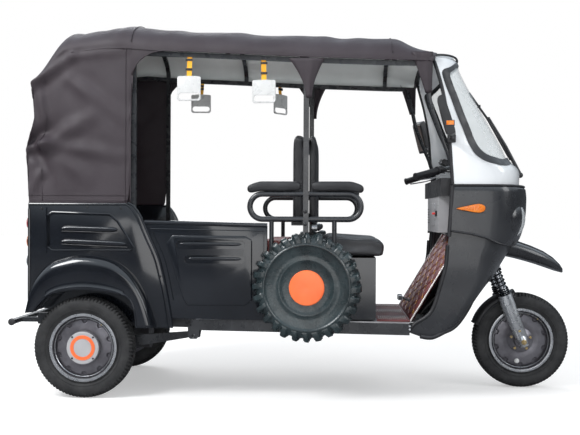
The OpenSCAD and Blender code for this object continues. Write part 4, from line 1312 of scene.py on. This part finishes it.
rearX, rearY, rearZ = wheels["rear"]
makeTyre("frontTyre", wheels["front"], "front_wheel", "front_tyre")
makeTyre("rearTyreRight", (rearX, -rearY, rearZ), "rear_wheel_right", "rear_tyre_right")
makeTyre("rearTyreLeft", (rearX, rearY, rearZ), "rear_wheel_left", "rear_tyre_left")
makeRimTrim("frontRimTrim", wheels["front"], "front_wheel", -1, True)
makeRimTrim("rearRimTrimRight", (rearX, -rearY, rearZ), "rear_wheel_right", -1, False)
makeRimTrim("rearRimTrimLeft", (rearX, rearY, rearZ), "rear_wheel_left", 1, False)
print("wheels made")

# The fork's coils and nuts, the front mudguard, and the handlebar's grips and levers.

fork = dict(rake=21, leg=90, low=286, high=382, coil=23, wire=4, turns=5)


def onFork(along, side, ahead=0):  # a point beside the steering axis
    rake = math.radians(fork["rake"])
    x = 1155 - along * math.sin(rake) + ahead * math.cos(rake)
    z = 245 + along * math.cos(rake) + ahead * math.sin(rake)
    return Vector((x, side, z))


def makeForkParts():
    bm = bmesh.new()
    for s in (-1, 1):
        path = []
        steps = fork["turns"] * 16
        for k in range(steps + 1):
            a = 2 * math.pi * k / 16
            along = lerp(fork["low"] + 8, fork["high"] + 12, k / steps)
            path.append(onFork(along, s * fork["leg"] + fork["coil"] * math.sin(a),
                               fork["coil"] * math.cos(a)))
        addTube(bm, path, fork["wire"], 6, 0)
        axis = onFork(1, 0) - onFork(0, 0)
        foot = onFork(0, s * fork["leg"])
        for k in range(4):
            low = 254 + 10 * k
            collar = [(low, 19.5), (low, 27), (low + 4, 32 - k), (low + 8, 27), (low + 8, 19.5)]
            addLathe(bm, collar, foot, axis, 32, 0)
        casting = [onFork(t, s * fork["leg"], lean)
                   for t, lean in ((-18, 2), (30, 0), (120, -3), (200, -4), (256, -2))]
        addTube(bm, casting, [19, 31, 34, 37, 35], 24, 2, 0.58)
        addTube(bm, [onFork(20, s * 110, -20), onFork(230, s * 111, -22)], 5, 8, 2)
        addLathe(bm, [(384, 19.5), (384, 29), (396, 29), (398, 19.5)], foot, axis, 32, 0)
        addLathe(bm, [(276, 19.4), (276, 20.6), (392, 20.6), (392, 19.4)], foot, axis, 32, 1)
        addLathe(bm, [(-24, 0), (-28, 17), (-24, 22), (20, 24), (30, 19.2)], foot, axis, 32, 2, closed=False)
        addBolt(bm, (1155, s * 112, 245), (0, s, 0), 15, 8, 3)
        addBolt(bm, (1155, s * 119, 245), (0, s, 0), 9, 7, 3)
        addTube(bm, [onFork(60, s * 112, -6), onFork(60, s * 114, 6)], 5, 8, 3)
    makePiece("forkSprings", bm, ["blackPaint", "chromeMetal", "silverMetal", "brassMetal"], "steering",
              ["fork_springs"])


def makeMudguard():
    bm = bmesh.new()
    rows = []
    for k in range(49):
        a = math.radians(lerp(98, 160, k / 48))
        end = 1 - 0.18 * abs(2 * k / 48 - 1) ** 8
        row = []
        for j in range(21):
            b = math.pi * j / 20
            y = -62 * end * math.cos(b)
            rad = 229 + 34 * math.sin(b) ** 0.5
            row.append(Vector((1155 + rad * math.cos(a), y, 245 + rad * math.sin(a))))
        rows.append(row)
    addGrid(bm, rows, 0)
    for s in (-1, 1):
        edge = [row[0 if s < 0 else -1] for row in rows]
        addTube(bm, edge, 3.5, 6, 0)
        p, q = onFork(262, s * 60), onFork(262, s * 74)
        addTube(bm, [p, q], 11, 10, 0)
        addBolt(bm, onFork(262, s * 72, 0), (0, s, 0), 6, 3, 1)
    for row in (rows[0], rows[-1]):
        addTube(bm, row, 3, 6, 0)
    bmesh.ops.recalc_face_normals(bm, faces=bm.faces)
    piece = makePiece("mudguard", bm, ["blackPlastic", "silverMetal"], "steering",
                      ["front_mudguard"], sharp=50)
    skin = piece.modifiers.new("skin", "SOLIDIFY")
    skin.thickness = 0.003


def makeGrips():
    bm = bmesh.new()
    for s in (-1, 1):
        root, tip = Vector((700, s * 225, 1114)), Vector((585, s * 296, 1080))
        way = (tip - root).normalized()
        span = (tip - root).length
        path = [root + way * (span * k / 26) for k in range(27)]
        addTube(bm, path, [17.5 if k % 2 else 16.3 for k in range(27)], 16, 0)
        addTube(bm, [root - way * 6, root + way * 4], 21, 16, 0)
        addTube(bm, [tip - way * 6, tip + way * 1], 19, 16, 0)
        lever = [root + Vector((34, s * -6, -12)), root + Vector((32, s * 26, -22)),
                 root + way * 60 + Vector((30, 0, -22)), tip + Vector((24, s * -6, -14))]
        addTube(bm, curveThrough(lever, 5), 4.5, 8, 1, 0.6)
        pod = root - way * 26
        addKnob(bm, pod, (24, 24, 19), None, 2, 16)
        addKnob(bm, pod + Vector((-17, 0, 10)), (7, 7, 5), None, 3 if s < 0 else 4, 10)
    makePiece("barGrips", bm, ["sealRubber", "silverMetal", "blackPlastic", "keyRed", "amberLens"],
              "steering")
    dial = bmesh.new()
    addBox(dial, (742, -64, 1160), (752, 64, 1176), 4, 0)
    addBox(dial, (737, -54, 1160), (744, 20, 1182), 2, 1)
    makePiece("dialTrim", dial, ["blackPlastic", "clearLens"], "steering")


makeForkParts()
makeMudguard()
makeGrips()
print("front end made")

# Seats: each cushion is a sewn cover over foam, swelled by a short cloth run.

# box is x, z, x, z and the softness of the corners; cap is how far the cover may swell
redSeat, blackSeat = ["seatVinyl", "blackVinyl"], ["blackVinyl", "blackPaint"]
seats = dict(
    benchCushion=dict(box=(-1188, 641, -752, 752, 30), half=404, cap=9, seams=[-200, 0, 200],
                      finishes=redSeat, node="bench_cushion"),
    middleCushion=dict(box=(-210, 641, -6, 762, 30), half=398, cap=8, seams=[-130, 130],
                       finishes=redSeat, node="middle_cushion"),
    benchBack=dict(outline=[(-1282, 757), (-1166, 757), (-1162, 775), (-1212, 1160), (-1226, 1182),
                            (-1262, 1184), (-1282, 1170)],
                   half=404, cap=7, seams=[-200, 0, 200], finishes=redSeat, node="bench_back"),
    driverCushion=dict(outline=[(106, 686), (416, 686), (440, 698), (444, 742), (430, 764), (400, 772),
                                (206, 783), (120, 788), (106, 776)],
                       half=398, cap=7, seams=[-135, 135], finishes=blackSeat, node="driver_cushion"),
    rearPad=dict(outline=[(-17, 834), (36, 834), (37, 860), (37, 1280), (28, 1296), (-8, 1296),
                          (-17, 1280)], shrink=3, cap=5, seams=[-110, 110]),
    frontPad=dict(outline=[(65, 834), (92, 834), (94, 860), (94, 1280), (86, 1296), (70, 1296),
                           (65, 1280)], shrink=2, cap=4),
    padHalf=328)


def softBlock(outline, y0, y1, shrink=5):  # a rounded block whose sides pull in
    bm = bmesh.new()
    middleX = sum(p[0] for p in outline) / len(outline)
    middleZ = sum(p[1] for p in outline) / len(outline)
    line = spread([(x, 0, z) for x, z in (*outline, outline[0])], 49)[:-1]
    rows = []
    for k in range(25):
        t = 2 * k / 24 - 1
        y = lerp(y0, y1, k / 24)
        ease = 1 - 0.10 * abs(t) ** 10
        row = []
        for p in line:
            inX = (shrink if p.x < middleX else -shrink) * 0.6
            inZ = (shrink if p.z < middleZ else -shrink) * 0.5
            row.append(Vector((lerp(middleX, p.x, ease) + inX, y, lerp(middleZ, p.z, ease) + inZ)))
        rows.append(row)
    verts, made = addGrid(bm, rows, 0, wrapAcross=True)
    n = len(line)
    for ring in (verts[:n][::-1], verts[-n:]):
        bm.faces.new(ring)
    bmesh.ops.recalc_face_normals(bm, faces=bm.faces)
    return bm


def puffUp(bm, cap, voxel=0.009, frames=14):  # a short pressure run, then the result is fixed
    data = bpy.data.meshes.new("foam")
    bm.to_mesh(data)
    bm.free()
    thing = bpy.data.objects.new("foam", data)
    bpy.context.scene.collection.objects.link(thing)
    grid = thing.modifiers.new("grid", "REMESH")
    grid.mode = "VOXEL"
    grid.voxel_size = voxel
    bpy.context.view_layer.update()
    seen = thing.evaluated_get(bpy.context.evaluated_depsgraph_get())
    fine = bpy.data.meshes.new_from_object(seen)
    thing.modifiers.clear()
    thing.data = fine
    bpy.data.meshes.remove(data)
    start = [v.co.copy() for v in fine.vertices]
    low = min(v.z for v in start)
    pinned = thing.vertex_groups.new(name="seat")
    pinned.add([i for i, v in enumerate(start) if v.z < low + 0.012], 1.0, "REPLACE")
    cloth = thing.modifiers.new("cloth", "CLOTH")
    cloth.settings.vertex_group_mass = "seat"
    cloth.settings.quality = 4
    cloth.settings.use_pressure = True
    cloth.settings.uniform_pressure_force = 4
    cloth.settings.effector_weights.gravity = 0
    cloth.point_cache.frame_start = 1
    cloth.point_cache.frame_end = frames
    for step in range(1, frames + 1):
        bpy.context.scene.frame_set(step)
    seen = thing.evaluated_get(bpy.context.evaluated_depsgraph_get())
    moved = [v.co.copy() for v in seen.data.vertices]
    thing.modifiers.clear()
    for i, v in enumerate(fine.vertices):
        shift = moved[i] - start[i]
        if shift.length > cap / 1000:
            shift = shift.normalized() * cap / 1000
        v.co = start[i] + shift
    bpy.context.scene.frame_set(1)
    out = bmesh.new()
    out.from_mesh(fine)
    bpy.data.objects.remove(thing)
    bpy.data.meshes.remove(fine)
    bmesh.ops.smooth_vert(out, verts=out.verts, factor=0.5, use_axis_x=True, use_axis_y=True,
                          use_axis_z=True)
    return out


def pressSeams(bm, seams, width=11, depth=9):  # sewn channels from front to rear of the cover
    for v in bm.verts:
        for place in seams:
            away = abs(v.co.y * 1000 - place)
            if away < width * 3 and v.normal.length:
                v.co -= v.normal * depth / 1000 * math.exp(-(away / width) ** 2)


def boxOutline(x0, z0, x1, z1, soft):
    return [(x0, z0), (x1, z0), (x1, z1 - soft), (x1 - soft * 0.35, z1 - soft * 0.3), (x1 - soft, z1),
            (x0 + soft, z1), (x0 + soft * 0.35, z1 - soft * 0.3), (x0, z1 - soft)]


def makeSeat(name, outline, half, cap, seams, finishes, node):  # half is half the width
    bm = puffUp(softBlock(outline, -half, half), cap)
    bm.normal_update()
    pressSeams(bm, seams)
    piece = makePiece(name, bm, finishes, "root", [node], sharp=180)
    smooth = piece.modifiers.new("smooth", "SUBSURF")
    smooth.levels = smooth.render_levels = 1


def makeBackrests():  # two pads, back to back on one frame
    rearPad, frontPad = seats["rearPad"], seats["frontPad"]
    half = seats["padHalf"]
    bm = puffUp(softBlock(rearPad["outline"], -half, half, rearPad["shrink"]), rearPad["cap"])
    bm.normal_update()
    pressSeams(bm, rearPad["seams"], 9, 6)
    pad = puffUp(softBlock(frontPad["outline"], -half, half, frontPad["shrink"]), frontPad["cap"])
    joinForms(bm, pad)
    piece = makePiece("backrestPads", bm, ["blackVinyl"], "root", ["backrests"], sharp=180)


for name in ("benchCushion", "middleCushion", "benchBack", "driverCushion"):
    seat = seats[name]
    outline = seat.get("outline") or boxOutline(*seat["box"])
    makeSeat(name, outline, seat["half"], seat["cap"], seat["seams"], seat["finishes"], seat["node"])
makeBackrests()
print("cushions made")


def makeArmPads():
    bm = bmesh.new()
    for s in (-1, 1):
        for x0, x1 in ((-232, 28), (74, 328)):
            rows = []
            for k in range(33):
                t = k / 32
                x = lerp(x0, x1, t)
                end = (1 - abs(2 * t - 1) ** 7) ** 0.5
                outer = t if x1 > 100 else 1 - t  # the outer end dips
                dip = 13 * smoothStep((outer - 0.72) / 0.28)
                row = []
                for j in range(20):
                    a = 2 * math.pi * j / 20
                    c, q = math.cos(a), math.sin(a)
                    y = 23 * math.copysign(abs(c) ** 0.7, c) * (0.35 + 0.65 * end)
                    z = 1027 - dip + 24 * math.copysign(abs(q) ** 0.7, q) * (0.3 + 0.7 * end)
                    if 0.1 < abs(q) < 0.35:
                        y *= 0.93
                    row.append(Vector((x, s * 436 + y, z)))
                rows.append(row)
            verts, made = addGrid(bm, rows, 0, wrapAcross=True)
            for ring in (verts[:20][::-1], verts[-20:]):
                bm.faces.new(ring)
    bmesh.ops.recalc_face_normals(bm, faces=bm.faces)
    piece = makePiece("armPads", bm, ["blackVinyl"], "root", ["armrest_pads"], sharp=180)
    smooth = piece.modifiers.new("smooth", "SUBSURF")
    smooth.levels = smooth.render_levels = 1


def makeGrabHandles():
    bm = bmesh.new()
    # x of the strap, side, lean along x, foot of the strap, height of the plate's foot, twist
    handles = ((-514, -429, -4, 1560, 1440, 0.06), (-156, -429, 2, 1540, 1428, -0.05),
               (-590, 429, -6, 1592, 1484, 0.10), (-136, 429, 5, 1590, 1474, 0.9))
    for x, y, lean, top, foot, twist in handles:
        head = eaveAt(x) - 26
        turn = Matrix.Rotation(twist, 3, "Z")
        centre = Vector((x + lean, y, 0))
        strap = []
        for k in range(13):
            t = k / 12
            z = lerp(top - 6, head, t)
            wave = 1.5 * math.sin(t * 5)
            here = centre + Vector((-lean * t, 0, z))
            webbing = ((-12, -1.3), (0, -1.9), (12, -1.3), (12, 1.3), (0, 1.9), (-12, 1.3))
            strap.append([here + turn @ Vector((u, wave + v, 0)) for u, v in webbing])
        addGrid(bm, strap, 0, wrapAcross=True)
        for z in (top + 26, head - 20):
            pts = [turn @ Vector((u, v, 0)) for u, v in ((-16, -4), (16, -4), (16, 4), (-16, 4))]
            low = [centre + p + Vector((0, 0, z)) for p in pts]
            high = [centre + p + Vector((0, 0, z + 11)) for p in pts]
            sides = [[0, 1, 2, 3], [7, 6, 5, 4], [0, 4, 5, 1], [1, 5, 6, 2], [2, 6, 7, 3], [3, 7, 4, 0]]
            verts, made = addFaces(bm, low + high, sides, 2)
            bmesh.ops.recalc_face_normals(bm, faces=made)
        plate = bmesh.new()
        wide = 57
        outer = [(-wide, foot + 9), (-wide + 9, foot), (wide - 9, foot), (wide, foot + 9), (wide, top - 7),
                 (wide - 5, top - 2), (22, top), (-22, top), (-wide + 5, top - 2), (-wide, top - 7)]
        addPrism(plate, outer, -4, 4, 2.5)
        plate = shapedBy(plate, pillForm(-wide + 7, wide - 7, foot + 8, foot + 38, -9, 9), "DIFFERENCE")
        for v in plate.verts:
            here = turn @ Vector((v.co.x * 1000, v.co.y * 1000, 0))
            v.co = metres((centre.x + here.x, centre.y + here.y, v.co.z * 1000))
        for f in plate.faces:
            f.material_index = 1
        joinForms(bm, plate)
    makePiece("grabHandles", bm, ["strapAmber", "milkyPlastic", "blackPlastic"], "root",
              ["grab_handles"], sharp=35)


makeArmPads()
makeGrabHandles()


def makeKickPanel():  # quilted trim with gold stitches, piped along the edges
    bm = bmesh.new()
    foot, head = Vector((557, 0, 377.5)), Vector((803, 0, 790))
    way = (head - foot).normalized()
    out = Vector((-way.z, 0, way.x))
    rise = (head - foot).length
    pitch, wide = 88, 190  # of the diamonds, up the slope and across
    acrossSteps, upSteps = 150, 92

    def quilt(y, s):
        a = y / wide + s / pitch
        b = y / wide - s / pitch
        near = min(abs(a - round(a)), abs(b - round(b)))
        return 4.5 * (1 - math.exp(-(near / 0.12) ** 2))
    front, back = [], []
    for j in range(upSteps + 1):
        s = rise * j / upSteps
        row = []
        for k in range(acrossSteps + 1):
            y = lerp(-383, 383, k / acrossSteps)
            edge = min(1, min(383 - abs(y), s, rise - s) / 14)
            row.append(foot + way * s + out * (quilt(y, s) * edge - 1) + Vector((0, y, 0)))
        front.append(row)
        back.append([foot + way * s - out * 8 + Vector((0, lerp(-383, 383, k / 10), 0)) for k in range(11)])
    addGrid(bm, front, 0)
    addGrid(bm, back, 0)
    for y in (-382, 382):
        edge = [foot + way * (rise * k / 20) + out * 2 + Vector((0, y, 0)) for k in range(21)]
        addTube(bm, edge, 4.5, 8, 2)
    head = [foot + way * (rise - 4) + out * 3 + Vector((0, y, 0)) for y in range(-380, 381, 20)]
    addTube(bm, head, 4.5, 8, 2)
    for m in range(-4, 5):
        for n in range(0, 2 * int(rise / pitch) + 3):
            y, s = m * wide / 2, n * pitch / 2
            if (m + n) % 2 or abs(y) > 350 or not 16 < s < rise - 16:
                continue
            spot = foot + way * s + out * 2.2 + Vector((0, y, 0))
            for cross in (-1, 1):
                half = way * 10 + Vector((0, cross * 30, 0))
                addTube(bm, [spot - half, spot + half], 1.5, 5, 1, 0.6)
    makePiece("kickPanel", bm, ["quiltVinyl", "goldThread", "treadPlate"], "root",
              ["kick_panel"], sharp=60)


def makeMats():
    bm = bmesh.new()
    for x0, x1 in ((-560, -210), (395, 552)):
        deck = 384.3 - 0.0129 * (x0 + x1) / 2
        addBox(bm, (x0, -399, deck), (x1, 399, deck + 5), 2, 0)
        ribs = range(int(x0) + 14, int(x1) - 8, 11)
        for x in ribs:
            addTube(bm, [(x, -388, deck + 5), (x, 388, deck + 5)], 2.2, 6, 0)
    for y in (-352, -60, 232):  # pale treads at the driver's feet
        for k in range(14):
            addBox(bm, (404 + 10 * k, y, 383), (410 + 10 * k, y + 120, 388), 1, 1, 1)
    makePiece("floorMats", bm, ["quiltVinyl", "treadPlate"], "root", ["floor_mats"], sharp=40)


def makeTailLamps():
    bm = bmesh.new()
    for z, finish in ((660, 3), (755, 1), (845, 0)):
        place = (-1302, -402, z)
        addLathe(bm, [(0, 38), (6, 38), (8, 35), (8, 31), (0, 31)], place, (-1, 0, 0), 40, 2)
        dome = [(0, 33), (10, 32), (15, 26), (18, 14), (18.5, 0)]
        addLathe(bm, dome, place, (-1, 0, 0), 40, finish, closed=False)
    mirrorAcross(bm)
    bmesh.ops.recalc_face_normals(bm, faces=bm.faces)
    makePiece("tailLamps", bm, ["redLens", "amberLens", "blackPlastic", "clearLens"], "root",
              ["tail_lamps"])


def makeFittings():  # small hardware that rides on the body
    bm = bmesh.new()
    addBox(bm, (-479, -440.5, 384), (-165, -412, 388.5), 1.5, 0)  # sill tread strip
    for z in (346, 362):
        addBolt(bm, (548, -440, z), (0, -1, 0), 6, 4, 0)
    for s in (-1, 1):  # arm pivots with their nuts
        washer = [(0, 0), (0, 17), (5, 17), (5, 0)]
        addLathe(bm, washer, (-491, s * 361, 304), (0, s, 0), 24, 1, closed=False)
        addBolt(bm, (-491, s * 366, 304), (0, s, 0), 11, 7, 0)
        addBolt(bm, (-1021, s * 361, 245), (0, s, 0), 12, 6, 0)
    for y in (-362, -40, 362):  # backrest brackets and knobs between the two pads
        addBox(bm, (-23, y - 16, 838), (37, y + 16, 864), 3, 2)
        addTube(bm, [(78, y, 826), (104, y, 826)], 17, 20, 0)
        addKnob(bm, (110, y, 826), (10, 15, 15), None, 2, 14)
    for z in (845, 905):
        addKnob(bm, (48, -449, z), (9, 5, 9), None, 2, 12)
    addTube(bm, [(560, -300, 470), (520, -300, 486)], 6, 8, 2)  # brake pedal
    addBox(bm, (500, -332, 474), (522, -268, 500), 3, 2)
    addBox(bm, (702, -240, 812), (704.5, 240, 978), 1.5, 3)  # glovebox lid, key and vents
    addBox(bm, (699, -120, 836), (703, 120, 954), 4, 3)
    addTube(bm, [(703, -190, 900), (694, -190, 900)], 15, 20, 2)
    addBox(bm, (676, -193, 893), (695, -187, 907), 2, 4)
    for k in range(6):
        addBox(bm, (700, 150, 850 + 14 * k), (703, 228, 856 + 14 * k), 1, 2)
    for s in (-1, 1):  # caps on the bumper's ends
        cap = [(0, 0), (0, 17), (10, 17), (13, 12), (13, 0)]
        addLathe(bm, cap, (-1386, s * 430, 361), (0, s, 0), 24, 2, closed=False)
    for y in (-300, 300):  # latches on the seat box
        addBox(bm, (386.5, y - 12, 400), (391, y + 12, 676), 2, 2)
    makePiece("fittings", bm, ["silverMetal", "castIron", "blackPlastic", "greyPlastic", "keyRed"], "root")


makeKickPanel()
makeMats()
makeTailLamps()
makeFittings()
print("cabin made")
